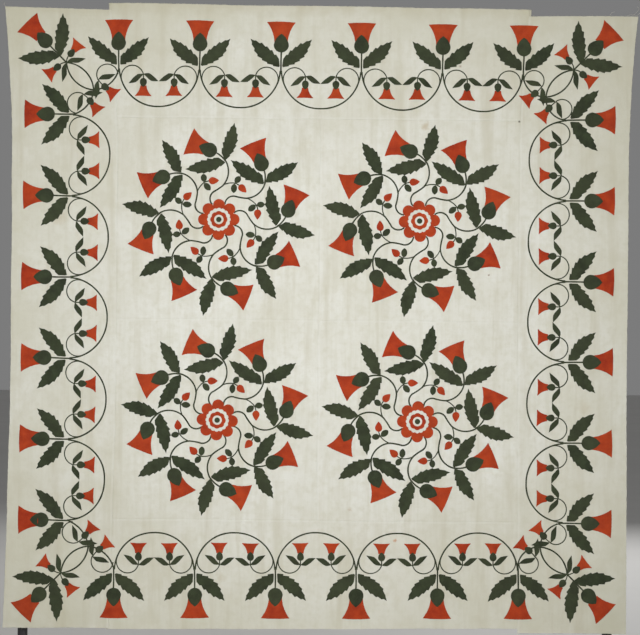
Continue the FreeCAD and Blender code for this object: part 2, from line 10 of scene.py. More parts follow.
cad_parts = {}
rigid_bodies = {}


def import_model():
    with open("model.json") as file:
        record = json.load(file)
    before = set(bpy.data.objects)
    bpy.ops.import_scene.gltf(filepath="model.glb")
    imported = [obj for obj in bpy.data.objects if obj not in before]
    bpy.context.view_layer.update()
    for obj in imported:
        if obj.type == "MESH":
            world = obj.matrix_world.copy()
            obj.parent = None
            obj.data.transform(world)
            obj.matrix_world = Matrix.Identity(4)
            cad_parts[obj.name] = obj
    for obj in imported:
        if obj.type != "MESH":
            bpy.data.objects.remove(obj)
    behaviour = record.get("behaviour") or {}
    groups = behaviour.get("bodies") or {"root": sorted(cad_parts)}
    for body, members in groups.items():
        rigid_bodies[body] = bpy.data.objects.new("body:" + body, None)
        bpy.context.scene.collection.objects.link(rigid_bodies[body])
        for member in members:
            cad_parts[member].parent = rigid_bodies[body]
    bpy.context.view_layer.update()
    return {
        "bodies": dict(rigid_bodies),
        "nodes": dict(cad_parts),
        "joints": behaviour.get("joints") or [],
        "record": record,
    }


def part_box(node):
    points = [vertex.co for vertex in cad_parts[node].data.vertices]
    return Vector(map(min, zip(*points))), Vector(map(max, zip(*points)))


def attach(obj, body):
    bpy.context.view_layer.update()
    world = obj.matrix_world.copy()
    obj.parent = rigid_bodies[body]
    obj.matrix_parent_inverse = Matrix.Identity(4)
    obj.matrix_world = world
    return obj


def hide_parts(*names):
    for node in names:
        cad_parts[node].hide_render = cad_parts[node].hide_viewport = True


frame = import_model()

MM = 0.001


# ---- frame, in millimetres
# The quilt is drawn flat: u to the right and v up from its middle, w forward out of its back.
def box_mm(node):
    low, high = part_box(node)
    return np.array(low) / MM, np.array(high) / MM


block_low, _ = box_mm("top_left_block")
rail_low, rail_high = box_mm("rail_left")
sleeve_low, sleeve_high = box_mm("hanging_sleeve")
MID_Z = 1238.0                          # height of the middle of the quilt
BLOCK = round(-block_low[0])
RAIL_R = (rail_high[2] - rail_low[2]) / 2
RAIL_Z = rail_low[2] + RAIL_R
SLEEVE_T = 0.8
SLEEVE_R = RAIL_R + 0.7                 # inside of the sleeve where it rides on the rail
RAIL_BACK = SLEEVE_R + SLEEVE_T
LEAN = math.asin(RAIL_BACK / (RAIL_Z - MID_Z))
RAIL_V = (RAIL_Z - MID_Z) * math.cos(LEAN)
SLEEVE_TOP = 34.0                       # stitch lines of the sleeve above and below the rail
SLEEVE_FOOT = -58.0
CENTRE_SEAM = 4.0                       # the upright seam between the blocks sits off centre
SIDE_LEFT = BLOCK + 370.0               # flat outer edges of the side borders
SIDE_RIGHT = BLOCK + 382.0
SIDE = (SIDE_LEFT + SIDE_RIGHT) / 2
TOP_LEFT = BLOCK + 399.0                # the raw top edge runs slightly down to the right
TOP_RIGHT = BLOCK + 389.0
FOOT_LEFT = -BLOCK - 388.0
FOOT_RIGHT = -BLOCK - 374.0
LEFT_FOOT = -1087.0                     # raw ends of the side borders; a pair is left end, right end
LEFT_TOP = (1087.0, 1077.0)
RIGHT_FOOT = -1091.0
RIGHT_TOP = (1068.0, 1070.0)
FRONT = 1.0                             # face of the ground cloth
BACK = 0.35

# Corner pull: how far the hung corners stand outside the sides.
FLARE_TOP = 28.0
FLARE_TOP_FROM = 600.0
FLARE_TOP_REACH = 488.0
FLARE_BOTTOM_LEFT = 22.0
FLARE_BOTTOM_RIGHT = 9.0
FLARE_BOTTOM_FROM = 100.0
FLARE_BOTTOM_REACH = 990.0


# ---- how the cloth hangs
def value_noise(u, v, cell, seed):
    """Smooth noise from -1 to 1 with features about one cell wide."""
    period = 64
    table = np.random.default_rng(seed).uniform(-1, 1, (period, period))
    a = np.asarray(u) / cell
    b = np.asarray(v) / cell
    i = np.floor(a).astype(int)
    j = np.floor(b).astype(int)
    fa = a - i
    fb = b - j
    fa = fa * fa * (3 - 2 * fa)
    fb = fb * fb * (3 - 2 * fb)

    def at(di, dj):
        return table[(i + di) % period, (j + dj) % period]

    low = at(0, 0) * (1 - fa) + at(1, 0) * fa
    high = at(0, 1) * (1 - fa) + at(1, 1) * fa
    return low * (1 - fb) + high * fb


def ease(x, start, end):
    """0 before start, 1 after end, smooth between."""
    t = np.clip((x - start) / (end - start), 0, 1)
    return t * t * (3 - 2 * t)


def fold_line(distance, width, height):
    """Soft ridge left where the cloth was stored folded."""
    return height * np.exp(-(distance / width) ** 2)


def seam_side(u, v):
    """Distance from the nearest seam, on the side its allowance is pressed to; far away is 99."""
    inside = (np.abs(u) < BLOCK) & (np.abs(v) < BLOCK)
    strip = np.where(np.abs(u) < BLOCK, np.abs(v) - BLOCK, 99.0)
    side = np.abs(u) - BLOCK
    reach = np.where(side >= 0, side, 99.0)
    reach = np.minimum(reach, np.where(strip >= 0, strip, 99.0))
    upright = u - CENTRE_SEAM
    cross = np.minimum(np.where(upright >= 0, upright, 99.0), np.where(v <= 0, -v, 99.0))
    return np.where(inside, cross, reach)


ALLOWANCE = 8.0                         # width of the seam allowances
# Old creases: side border (-1 left, 1 right) and level of each, and the places of the upright ones.
BORDER_FOLDS = ((-1, 63.0), (-1, -539.0), (-1, -728.0), (1, 539.0), (1, -584.0), (1, -798.0))
TALL_FOLDS = (-352.0, 372.0)
# Hanging folds: height, width of a wave over 2 pi, how far it sways and its phase.
HANGING_FOLDS = ((2.6, 118.0, 0.5, 0.4), (1.3, 52.0, 0.9, 1.9))
# Puckers: height, cell and seed of each layer, and where its noise is read.
PUCKERS = ((0.30, 36.0, 5, (0, 0)), (0.20, 21.0, 6, (9, -5)), (0.6, 95.0, 8, (0, 0)))


def on_allowance(gap):
    """1 where the cloth lies over a pressed seam allowance, 0 elsewhere."""
    return ease(gap, 0.0, 1.2) * (1 - ease(gap, ALLOWANCE - 1.5, ALLOWANCE + 1.0))


def relief(u, v):
    """How far the hung cloth stands out of its plane: hanging folds, old creases and puckers."""
    fall = np.clip((RAIL_V - v) / (RAIL_V + SIDE), 0, 1)
    sway = np.sin(v / 420.0 + 0.6)
    folds = 2.4 * value_noise(u, v / 3.5, 140.0, 3)
    for height, wave, swing, phase in HANGING_FOLDS:
        folds += height * np.sin(u / wave + swing * sway + phase)
    out = folds * fall ** 0.8
    edge = np.clip((np.abs(u) - BLOCK) / (SIDE - BLOCK), 0, 1)
    out += edge * fall ** 0.5 * 2.4 * np.sin(v / 124.0 + np.sign(u) * 0.8)
    for side, level in BORDER_FOLDS:
        out += ease(side * u, BLOCK - 10, BLOCK) * fold_line(v - level, 6.0, 0.9)
    for level in TALL_FOLDS:
        out += fold_line(u - level - 3 * np.sin(v / 200), 5.0, 0.45)
    quiet = 0.35 + 0.65 * ease(RAIL_V - 40 - v, 0, 80)
    for height, cell, seed, (du, dv) in PUCKERS:
        out += height * value_noise(u + du, v + dv, cell, seed) * quiet
    out += 0.3 * on_allowance(seam_side(u, v))
    free_top = np.maximum(0, v - RAIL_V - SLEEVE_TOP)
    return out + free_top ** 2 * 0.0022 * (1 + 0.5 * value_noise(u, 0 * v, 90.0, 9))


def corner_pull(u, v):
    """How far the cloth is drawn sideways at a flat place, out towards the nearer corner."""
    pull = FLARE_TOP * (np.maximum(0, v - FLARE_TOP_FROM) / FLARE_TOP_REACH) ** 1.5
    low = np.where(u < 0, FLARE_BOTTOM_LEFT, FLARE_BOTTOM_RIGHT)
    pull += low * (np.maximum(0, -v - FLARE_BOTTOM_FROM) / FLARE_BOTTOM_REACH) ** 1.5
    return np.sign(u) * np.minimum(1.0, np.abs(u) / BLOCK) ** 2 * pull


def hang(points):
    """Flat (u, v, w) points in millimetres to their hung places in metres."""
    points = np.asarray(points, float)
    u, v, w = points[:, 0], points[:, 1], points[:, 2]
    x = u + corner_pull(u, v) + 1.3 * value_noise(u, v, 120.0, 11)
    up = v + 1.3 * value_noise(u, v, 120.0, 12)
    out = w + relief(u, v)
    y = -up * math.sin(LEAN) - out * math.cos(LEAN)
    z = MID_Z + up * math.cos(LEAN) - out * math.sin(LEAN)
    return np.stack([x, y, z], 1) * MM


def hang_sewn(points):
    """Places for patches, whose layout is drawn as it shows on the hung quilt."""
    points = np.array(points, float)
    shown = points[:, 0].copy()
    for _ in range(3):
        points[:, 0] = shown - corner_pull(points[:, 0], points[:, 1])
    return hang(points)


# ---- cutting and sewing
class Cloth:
    """Collects cut pieces of one cloth and makes them one object."""

    def __init__(self):
        self.points = []
        self.tints = []
        self.faces = []
        self.count = 0

    def add(self, points, faces, tint=0.0):
        self.points.append(np.asarray(points, float))
        self.tints.append(np.broadcast_to(tint, len(points)))
        self.faces += [tuple(i + self.count for i in face) for face in faces]
        self.count += len(points)

    def build(self, name, material, place=hang):
        mesh = bpy.data.meshes.new(name)
        mesh.from_pydata(place(np.concatenate(self.points)).tolist(), [], self.faces)
        tint = mesh.attributes.new("tint", "FLOAT", "POINT")
        tint.data.foreach_set("value", np.concatenate(self.tints).astype(np.float32))
        mesh.materials.append(material)
        mesh.polygons.foreach_set("use_smooth", [True] * len(mesh.polygons))
        mesh.update()
        piece = bpy.data.objects.new(name, mesh)
        bpy.context.collection.objects.link(piece)
        return piece


def directions(line):
    """Unit directions along a row of points."""
    ahead = np.gradient(line, axis=0)
    return ahead / np.linalg.norm(ahead, axis=1, keepdims=True)


def closed_tube(rows):
    """Points and closed faces of a strip whose cross-section is one point of every row."""
    n, m = len(rows[0]), len(rows)
    faces = [(k * n + i, k * n + i + 1, (k + 1) % m * n + i + 1, (k + 1) % m * n + i)
             for k in range(m) for i in range(n - 1)]
    faces.append(tuple(k * n for k in range(m)))
    faces.append(tuple(k * n + n - 1 for k in reversed(range(m))))
    return np.concatenate(rows), faces


def trace(points, corner=1.2, step=4.0):
    """Closed outline through points, with turned corners and no run longer than step."""
    points = np.asarray(points, float)
    outline = []
    for i, here in enumerate(points):
        before = points[i - 1] - here
        after = points[(i + 1) % len(points)] - here
        cut_before = here + before * min(0.35, corner / np.linalg.norm(before))
        cut_after = here + after * min(0.35, corner / np.linalg.norm(after))
        outline += [cut_before, (cut_before + 2 * here + cut_after) / 4, cut_after]
    outline = np.array(outline)
    traced = []
    for i, here in enumerate(outline):
        there = outline[(i + 1) % len(outline)]
        runs = max(1, math.ceil(np.linalg.norm(there - here) / step))
        traced += [here + (there - here) * k / runs for k in range(runs)]
    return np.array(traced)


def inset(outline, depth):
    """Anticlockwise closed outline moved inwards."""
    ahead = np.roll(outline, -1, 0) - outline
    ahead /= np.maximum(np.linalg.norm(ahead, axis=1, keepdims=True), 1e-9)
    both = ahead + np.roll(ahead, 1, 0)
    normal = np.stack([-both[:, 1], both[:, 0]], 1)
    size = np.maximum(np.linalg.norm(normal, axis=1, keepdims=True), 0.8)
    return outline + normal / size * depth


class Patch:
    """A shape cut once: flat local points, the height share of each, and closed faces."""

    def __init__(self, outline, step=9.0, turn=1.0):
        outline = np.asarray(outline, float)
        ahead = np.roll(outline, -1, 0)
        if (outline[:, 0] * ahead[:, 1] - outline[:, 1] * ahead[:, 0]).sum() < 0:
            outline = outline[::-1]
        count = len(outline)
        shoulder = inset(outline, turn * 0.3)
        inner = inset(outline, turn)
        low, high = inner.min(0), inner.max(0)
        grid = [(x, y) for x in np.arange(low[0] + step / 2, high[0], step)
                for y in np.arange(low[1] + step / 2, high[1], step)]
        grid = [p for p in grid if np.linalg.norm(inner - p, axis=1).min() > step * 0.4]
        ring = [Vector(p) for p in inner]
        edges = [(i, (i + 1) % count) for i in range(count)]
        verts, _, faces, _, _, _ = delaunay_2d_cdt(ring + [Vector(p) for p in grid], edges, [], 1, 1e-5)
        top = np.array([tuple(p) for p in verts])
        rim = [int(np.linalg.norm(top - p, axis=1).argmin()) for p in inner]
        wall = len(top)
        flat = np.concatenate([top, shoulder, outline, top])
        depth = np.linalg.norm(top[:, None, :] - outline[None, :, :], axis=2).min(1)
        crown = 0.82 + 0.18 * np.exp(-(depth / 4.5) ** 2)     # the turned edge lies double
        share = np.concatenate([crown, np.full(count, 0.72), np.zeros(count), np.zeros(wall)])
        self.points = np.column_stack([flat, share])
        self.faces = [tuple(face) for face in faces]
        foot = wall + 2 * count
        for i in range(count):
            j = (i + 1) % count
            self.faces.append((rim[j], rim[i], wall + i, wall + j))
            self.faces.append((wall + j, wall + i, wall + count + i, wall + count + j))
            self.faces.append((wall + count + j, wall + count + i, foot + rim[i], foot + rim[j]))
        self.faces += [tuple(i + foot for i in reversed(face)) for face in faces]


class Frame:
    """Local drawing frame: origin, direction of its +y, and mirror."""

    def __init__(self, origin, angle_deg, outer=None, mirror=1):
        self.origin = origin
        self.turn = math.radians(angle_deg - 90)
        self.outer = outer
        self.mirror = mirror

    def flat(self, points):
        points = np.asarray(points, float).reshape(-1, 2)
        x = points[:, 0] * self.mirror
        y = points[:, 1]
        cos, sin = math.cos(self.turn), math.sin(self.turn)
        moved = np.stack([self.origin[0] + x * cos - y * sin, self.origin[1] + x * sin + y * cos], 1)
        return self.outer.flat(moved) if self.outer else moved

    def local(self, point):
        """A point of the quilt in this frame, which has no outer frame and no mirror."""
        x, y = point[0] - self.origin[0], point[1] - self.origin[1]
        cos, sin = math.cos(self.turn), math.sin(self.turn)
        return x * cos + y * sin, y * cos - x * sin

    def handed(self):
        """1, or -1 where the drawing comes out mirrored."""
        return self.mirror * (self.outer.handed() if self.outer else 1)


def heading(start, end):
    return math.degrees(math.atan2(end[1] - start[1], end[0] - start[0]))


def arc(start, via, end, step=5.0):
    """Points along the arc through three points, both ends in."""
    (ax, ay), (bx, by), (cx, cy) = start, via, end
    d = 2 * (ax * (by - cy) + bx * (cy - ay) + cx * (ay - by))
    if abs(d) < 1e-3 * math.dist(start, end) ** 2:
        runs = max(1, math.ceil(math.dist(start, end) / step))
        return np.linspace(start, end, runs + 1)
    ox = ((ax * ax + ay * ay) * (by - cy) + (bx * bx + by * by) * (cy - ay)
          + (cx * cx + cy * cy) * (ay - by)) / d
    oy = ((ax * ax + ay * ay) * (cx - bx) + (bx * bx + by * by) * (ax - cx)
          + (cx * cx + cy * cy) * (bx - ax)) / d
    tau = 2 * math.pi
    first = math.atan2(ay - oy, ax - ox)
    middle = math.atan2(by - oy, bx - ox)
    last = math.atan2(cy - oy, cx - ox)
    sweep = (last - first) % tau
    if (middle - first) % tau > sweep:
        sweep -= tau
    radius = math.hypot(ax - ox, ay - oy)
    runs = max(2, math.ceil(abs(sweep) * radius / step))
    angles = first + sweep * np.linspace(0, 1, runs + 1)
    return np.stack([ox + radius * np.cos(angles), oy + radius * np.sin(angles)], 1)


def chain(*stretches):
    """Closed outline from stretches of points that share their ends."""
    return np.concatenate([np.asarray(stretch, float)[:-1] for stretch in stretches])


# ---- applique shapes
# Each is drawn with its foot at the origin, pointing along +y.
LEAF_LENGTH = 142.0
# Half widths (height, reach) of the leaf on its free side and on the side by the flower's stem.
LEAF_FREE = ((0, 3), (16, 13), (30, 20), (52, 26), (72, 28), (92, 26), (110, 19), (124, 11), (142, 0))
LEAF_STEM = ((20, 19), (40, 22), (60, 23), (80, 22), (100, 18), (114, 14), (126, 8), (142, 0))
LEAF_TEETH = (6, 5)
TOOTH = 4.8                             # depth of the notch beyond each tooth


def toothed(profile, teeth, notch):
    """One edge of a leaf, from foot to tip: teeth that point to the tip, as (height, reach)."""
    heights, reaches = np.array(profile, float).T
    pitch = (heights[-1] - heights[0]) / (teeth + 0.6)
    edge = [(heights[0], reaches[0])]
    for k in range(teeth):
        crest = heights[0] + pitch * (k + 0.80)
        foot = heights[0] + pitch * (k + 0.98)
        reach = np.interp(foot, heights, reaches)
        edge.append((crest, np.interp(crest, heights, reaches) + 0.5))
        edge.append((foot, reach - min(notch, 0.3 * reach)))
    return np.array(edge)


def leaf_outline(seed):
    """Long leaf, cut blunt along the flower's stem at its foot."""
    free = toothed(LEAF_FREE, LEAF_TEETH[0], TOOTH)[:, ::-1]
    by_stem = toothed(LEAF_STEM, LEAF_TEETH[1], TOOTH)[::-1, ::-1] * (-1, 1)
    return varied(np.concatenate([free, [(0, LEAF_LENGTH)], by_stem, [(-2, 1)]]), seed, 0.9)


LEAFLET_LENGTH = 60.0
LEAFLET = ((1.5, 0), (5, 10), (9.5, 26), (10.5, 35), (7.5, 44), (0, 60), (-4.5, 47), (-7.5, 36),
           (-10, 24), (-10.5, 15), (-6.5, 7), (-1.5, 0))


def varied(points, seed, amount=0.7):
    """A hand-cut copy of an outline."""
    shift = np.random.default_rng(seed).uniform(-amount, amount, (len(points), 2))
    return np.asarray(points, float) + shift


def bell_outline(neck, mouth, height, bow):
    """Trumpet flower: concave sides from the neck to the mouth."""
    middle = neck + 0.33 * (mouth - neck)
    right = arc((neck, 0), (middle, 0.55 * height), (mouth - 1.5, height - 2.0))
    lip = arc((mouth - 1.5, height - 2.0), (mouth - 1.0, height - 0.2), (mouth - 3.0, height))
    brim = arc((mouth - 3.0, height), (0, height + bow), (3.0 - mouth, height))
    half = np.concatenate([right[:-1], lip[:-1]])
    return np.concatenate([half, brim, half[::-1] * (-1, 1)])


def calyx_outline(width, length, point):
    """Acorn cup: round foot, widest low down, drawn in to a point over the bell's neck."""
    half = width / 2
    shoulder = 0.44 * length
    foot = arc((-half, shoulder), (0, 0), (half, shoulder), 4.0)
    tip = arc((half, shoulder), (point * half, 0.76 * length), (0, length), 4.0)
    return chain(foot, tip, tip[::-1] * (-1, 1))


def lens_outline(width, length):
    side = arc((0, 0), (width / 2, 0.5 * length), (0, length), 4.0)
    return chain(side, side[::-1] * (-1, 1))


def lobed_outline(ring, lobe, count):
    """Scalloped disc: equal arcs that bulge out from a ring of notches."""
    runs = []
    for i in range(count):
        turn = [math.radians(360.0 / count * (i + share)) for share in (-0.5, 0.0, 0.5)]
        reach = (ring, ring + lobe, ring)
        corners = [(r * math.cos(t), r * math.sin(t)) for r, t in zip(reach, turn)]
        runs.append(arc(*corners, 3.0))
    return chain(*runs)


def disc_outline(radius):
    turn = np.linspace(0, 2 * math.pi, max(12, round(radius * 1.6)), endpoint=False)
    return np.stack([radius * np.cos(turn), radius * np.sin(turn)], 1)


CUTS = 4                                # hand-cut versions of each repeated shape
BRANCHES = 8
BIG_HEIGHT = 70.0
BIG_CUP = 66.0
SMALL_HEIGHT = 37.0
SMALL_CUP = 32.0
SPRIG_LEAF = 30.0


def hand_cut(outline, seed, amount, *grain):
    """Several cuts of one outline, no two quite the same."""
    return [Patch(varied(outline, seed + i, amount), *grain) for i in range(CUTS)]


big_bells = hand_cut(bell_outline(23.0, 50.5, BIG_HEIGHT, 2.0), 20, 0.35)
small_bells = hand_cut(bell_outline(11.0, 30.5, SMALL_HEIGHT, -1.2), 30, 0.3, 6.0, 0.8)
big_cups = hand_cut(calyx_outline(51.5, BIG_CUP, 0.65), 40, 0.3)
small_cups = hand_cut(calyx_outline(24.5, SMALL_CUP, 0.72), 50, 0.25, 6.0, 0.8)
buds = hand_cut(calyx_outline(25.0, 36.0, 0.58), 60, 0.3, 6.0, 0.8)
sprig_leaves = hand_cut(lens_outline(21.5, SPRIG_LEAF), 90, 0.25, 5.0, 0.8)
leaves = [Patch(trace(leaf_outline(70 + i), 0.6, 3.6), turn=0.8) for i in range(CUTS)]
leaflets = [Patch(trace(varied(LEAFLET, 80 + i, 0.4), 0.8, 3.5), 6.0, 0.8) for i in range(CUTS)]
petals = Patch(lobed_outline(53.5, 18.5, BRANCHES))
wavy_ring = Patch(lobed_outline(37.5, 3.5, 2 * BRANCHES), 6.0, 0.8)
heart = Patch(lobed_outline(27.0, 3.0, BRANCHES), 6.0, 0.8)
core = Patch(disc_outline(16.5), 5.0, 0.7)
eye = Patch(disc_outline(9.6), 4.0, 0.7)

# Heights above the quilt's back: where a patch's rim meets the cloth and where its face lies.
PATCH_FOOT = 0.85
PATCH_TOP = 1.62
CUP_TOPS = (2.00, 2.35)                 # at the foot and at the tip, which lies over the bell
LAYER = 0.38                            # each further layer of the rosette
STEM_W = 5.9
TENDRIL_W = 4.4
# Section of a stem: share of its half width, and height.
STEM_SECTION = ((-1.0, PATCH_FOOT), (-0.78, 1.26), (0.0, 1.42), (0.78, 1.26), (1.0, PATCH_FOOT))


class Group:
    """Flowers, leaves and stems that are sewn on one block or one border."""

    def __init__(self, seed):
        self.flowers = Cloth()
        self.leaves = Cloth()
        self.stems = Cloth()
        self.rng = np.random.default_rng(seed)

    def sew(self, cloth, shapes, frame, foot=PATCH_FOOT, tops=(PATCH_TOP, PATCH_TOP), length=100.0,
            stretch=1.0):
        """One patch: a cut shape laid in a frame, its face between the two top heights."""
        shape = shapes[self.rng.integers(len(shapes))]
        local = shape.points[:, :2] * (1.0, stretch)
        along = np.clip(local[:, 1] / length, 0, 1)
        top = tops[0] + (tops[1] - tops[0]) * along
        height = foot + (top - foot) * shape.points[:, 2]
        points = np.column_stack([frame.flat(local), height])
        faces = shape.faces if frame.handed() > 0 else [face[::-1] for face in shape.faces]
        cloth.add(points, faces, self.rng.uniform(-1, 1))

    def nudge(self, point, amount=0.8):
        return tuple(np.asarray(point, float) + self.rng.uniform(-amount, amount, 2))

    def bell(self, frame, foot, mouth, big=True):
        """Bell and the calyx that covers its neck, aimed from foot to mouth."""
        bells, cups = (big_bells, big_cups) if big else (small_bells, small_cups)
        height, reach = (BIG_HEIGHT, BIG_CUP) if big else (SMALL_HEIGHT, SMALL_CUP)
        mouth = self.nudge(mouth)
        aim = heading(foot, mouth) + self.rng.uniform(-0.8, 0.8)
        back = math.radians(aim)
        neck = (mouth[0] - height * math.cos(back), mouth[1] - height * math.sin(back))
        self.sew(self.flowers, bells, Frame(neck, aim, frame))
        self.sew(self.leaves, cups, Frame(foot, aim, frame), PATCH_FOOT + 0.1, CUP_TOPS, reach)

    def leaf(self, frame, base, tip, blunt):
        """Big jagged leaf: blunt is the side, 1 left or -1 right, that faces the flower's stem."""
        self.blade(leaves, LEAF_LENGTH, frame, base, self.nudge(tip, 1.5), blunt)

    def leaflet(self, frame, base, tip, side):
        self.blade(leaflets, LEAFLET_LENGTH, frame, base, self.nudge(tip, 1.0), side)

    def sprig_leaf(self, frame, base, tip):
        self.blade(sprig_leaves, SPRIG_LEAF, frame, base, tip, 1)

    def blade(self, shapes, length, frame, base, tip, side):
        """A leaf of that drawn length, stretched to reach from base to tip."""
        lay = Frame(base, heading(base, tip), frame, side)
        self.sew(self.leaves, shapes, lay, stretch=math.dist(base, tip) / length)

    def stem(self, frame, start, via, end, width=STEM_W):
        """Narrow bias strip along an arc."""
        line = frame.flat(arc(start, via, end))
        ahead = directions(line)
        across = np.stack([-ahead[:, 1], ahead[:, 0]], 1)
        half = width / 2 * (1 + 0.08 * value_noise(line[:, 0], line[:, 1], 17.0, 31))
        lift = self.rng.uniform(-0.04, 0.04)
        rows = [np.column_stack([line + across * (half * x)[:, None], np.full(len(line), w + lift)])
                for x, w in STEM_SECTION]
        self.stems.add(*closed_tube(rows), self.rng.uniform(-1, 1))


# ---- wreath of one block
FIRST_BRANCH = 84.5                     # polar angle of the first branch's leaf joint
WREATH_SHIFT = (2.7, -2.1)              # the wreaths sit off the middle of their blocks


def wreath_branch(group, frame):
    """One of eight curled branches: two leaves, a bell flower and a budded sprig."""
    joint = (210, 0)
    group.stem(frame, (50, 28), (74, 38), (96, 27))
    group.stem(frame, (95, 28), (107, 12), (123, -5))
    group.stem(frame, (121, -3), (163, -17), joint)
    group.stem(frame, (206, -2), (221, 14), (232, 35))
    group.stem(frame, (124, -6), (131, -24), (133, -43), TENDRIL_W)
    group.stem(frame, (133, -40), (131, -50), (126, -60), TENDRIL_W)
    group.bell(frame, (231, 32), (260.5, 132))
    group.leaf(frame, (211, -1), (341, -20), 1)
    group.leaf(frame, (203, -1), (163, 135), -1)
    group.sprig_leaf(frame, (134, -44), (158, -60))
    group.sprig_leaf(frame, (131, -42), (98, -42))
    bud = Frame((127, -59), heading((129, -56), (105, -86)) + group.rng.uniform(-4, 4), frame)
    group.sew(group.flowers, buds, bud)


def wreath(seed, centre, rings):
    """Rosette and its eight branches, whorled the same way on every block."""
    group = Group(seed)
    for branch in range(BRANCHES):
        wreath_branch(group, Frame(centre, 90 + FIRST_BRANCH - 360.0 / BRANCHES * branch))
    lay = Frame(centre, 90 + group.rng.uniform(-3, 3))
    face = PATCH_TOP + LAYER
    group.sew(group.flowers, [petals], lay, tops=(PATCH_TOP + 0.1, PATCH_TOP + 0.1))
    rings.rng = group.rng
    rings.sew(rings.flowers, [wavy_ring], lay, PATCH_TOP, (face, face))
    group.sew(group.flowers, [heart], lay, face - 0.1, (face + LAYER, face + LAYER))
    rings.sew(rings.flowers, [core], lay, face + LAYER - 0.1, (face + 2 * LAYER, face + 2 * LAYER))
    group.sew(group.leaves, [eye], lay, face + 2 * LAYER - 0.1, (face + 3 * LAYER, face + 3 * LAYER))
    return group


# ---- border strips
FLOWERS = 6
FORK = 174.0                            # height of the fork where a flower's stem leaves the vine
FLOWER_DROP = 5.2                       # the big flowers stand that much nearer the seam than drawn
# Each border's name, the way it faces, its small lean, how far its motifs stand out and slide along,
# the pitch of its flowers, and how far the corner at its clockwise end is off its seam corner.
BORDER_MOTIFS = (("top", 90.0, -0.36, -9.3, -0.3, 283.0, (-1.5, -7.0)),
                 ("left", 180.0, -0.47, -12.2, -6.0, 284.2, (5.0, 3.0)),
                 ("bottom", 270.0, 0.35, -2.0, 2.8, 283.6, (-3.7, -6.0)),
                 ("right", 0.0, 0.0, -12.5, -1.0, 282.4, (-7.0, 5.0)))
CORNERS = {"top": (1, 1), "left": (-1, 1), "bottom": (-1, -1), "right": (1, -1)}


def border_flower(group, frame):
    """Upright flower with its leaves, standing on the fork of two scallops."""
    group.stem(frame, (0.5, 171), (0, 210), (0.5, 250))
    group.bell(frame, (0, 245), (0, 351))
    group.leaf(frame, (5.5, 196), (107, 291), 1)
    group.leaf(frame, (-5.5, 196), (-107, 291), -1)


def small_flower(group, frame, side):
    """Nodding flower on a curled tendril, inside a scallop."""
    group.stem(frame, (11.5 * side, 134), (47 * side, 188), (88 * side, 157), TENDRIL_W)
    group.stem(frame, (87.5 * side, 160), (88 * side, 150), (87.7 * side, 141), TENDRIL_W)
    group.bell(frame, (87.7 * side, 145), (87.7 * side, 82), False)
    group.leaflet(frame, (86 * side, 158), (35 * side, 124), -side)
    group.leaflet(frame, (90 * side, 159), (142 * side, 134), side)


def scallop(group, frame, pitch):
    """Half-round vine from one fork to the next."""
    half = pitch / 2
    group.stem(frame, (-half + 2, 176), (-half + 46, 82), (0, 46))
    group.stem(frame, (0, 46), (half - 46, 82), (half - 2, 176))


def corner(group, frame, forks):
    """Corner spray, symmetric about the diagonal: x and y run outwards from the seam corner.

    forks are the quilt places where its two vines meet the nearest border flowers.
    """
    fork = (187, 187)
    meet = (92, 92)
    group.stem(frame, fork, (216, 216.2), (246, 246))
    group.bell(frame, (243, 243), (326, 326))
    for side, place in zip((1, -1), forks):
        half = Frame((0, 0), 90 if side > 0 else 0, frame, side)
        join = frame.local(place)[::side]
        group.leaf(half, (210, 212), (200, 358), -1)
        group.leaflet(half, (184, 190), (119, 202), -1)
        group.bell(half, (180, 208), (141, 257), False)
        group.leaflet(half, (75, 130), (17, 149), -1)
        group.leaflet(half, (77, 124), (84, 60), 1)
        group.bell(half, (64, 112), (15, 72), False)
        group.stem(half, fork, (186, 198), (179, 212), TENDRIL_W)
        group.stem(half, fork, (121, 156), meet)
        group.stem(half, join, (25, 126), meet)
        group.stem(half, (join[0] + 3, 147), (45, 183), (77, 127), TENDRIL_W)
        group.stem(half, (77, 129), (70, 119), (62, 111), TENDRIL_W)


def end_fork(row, end):
    """Foot of the first (end -1) or last (end 1) flower of a border, on the quilt."""
    _, angle, lean, lift, slide, pitch, _ = row
    along = slide + end * pitch * (FLOWERS - 1) / 2
    return Frame((0, 0), angle + lean).flat((along, BLOCK + lift + FORK))[0]


def border(seed, row, following):
    """Running vine of one border and the spray in the corner before the border that follows."""
    name, angle, lean, lift, slide, pitch, shift = row
    group = Group(seed)
    strip = Frame((0, 0), angle + lean)
    for i in range(FLOWERS):
        along = slide + pitch * (i - (FLOWERS - 1) / 2)
        border_flower(group, Frame((along, BLOCK + lift - FLOWER_DROP), 90, strip))
        unit = Frame((along, BLOCK + lift), 90, strip)
        if i > 0:
            small_flower(group, unit, -1)
            scallop(group, Frame((along - pitch / 2, BLOCK + lift), 90, strip), pitch)
        if i < FLOWERS - 1:
            small_flower(group, unit, 1)
    seam_corner = [BLOCK * sign + off for sign, off in zip(CORNERS[name], shift)]
    corner(group, Frame(seam_corner, angle), (end_fork(row, 1), end_fork(following, -1)))
    return group


# ---- ground cloth
SEAM_STEPS = (0.0, 0.7, 1.6, 3.5, 6.5, 9.0, 12.0)
RAW_STEPS = (0.0, 0.8, 3.0)
SEAM_VALLEY = 0.5
PITCH = 7.5


def spaced(span, seam_first, seam_last):
    """Distances across a span, closer together at its seams."""
    head = SEAM_STEPS if seam_first else RAW_STEPS
    tail = SEAM_STEPS if seam_last else RAW_STEPS
    runs = round((span - head[-1] - tail[-1]) / PITCH)
    middle = np.linspace(head[-1], span - tail[-1], runs + 1)
    return np.concatenate([head[:-1], middle, span - np.array(tail[-2::-1])])


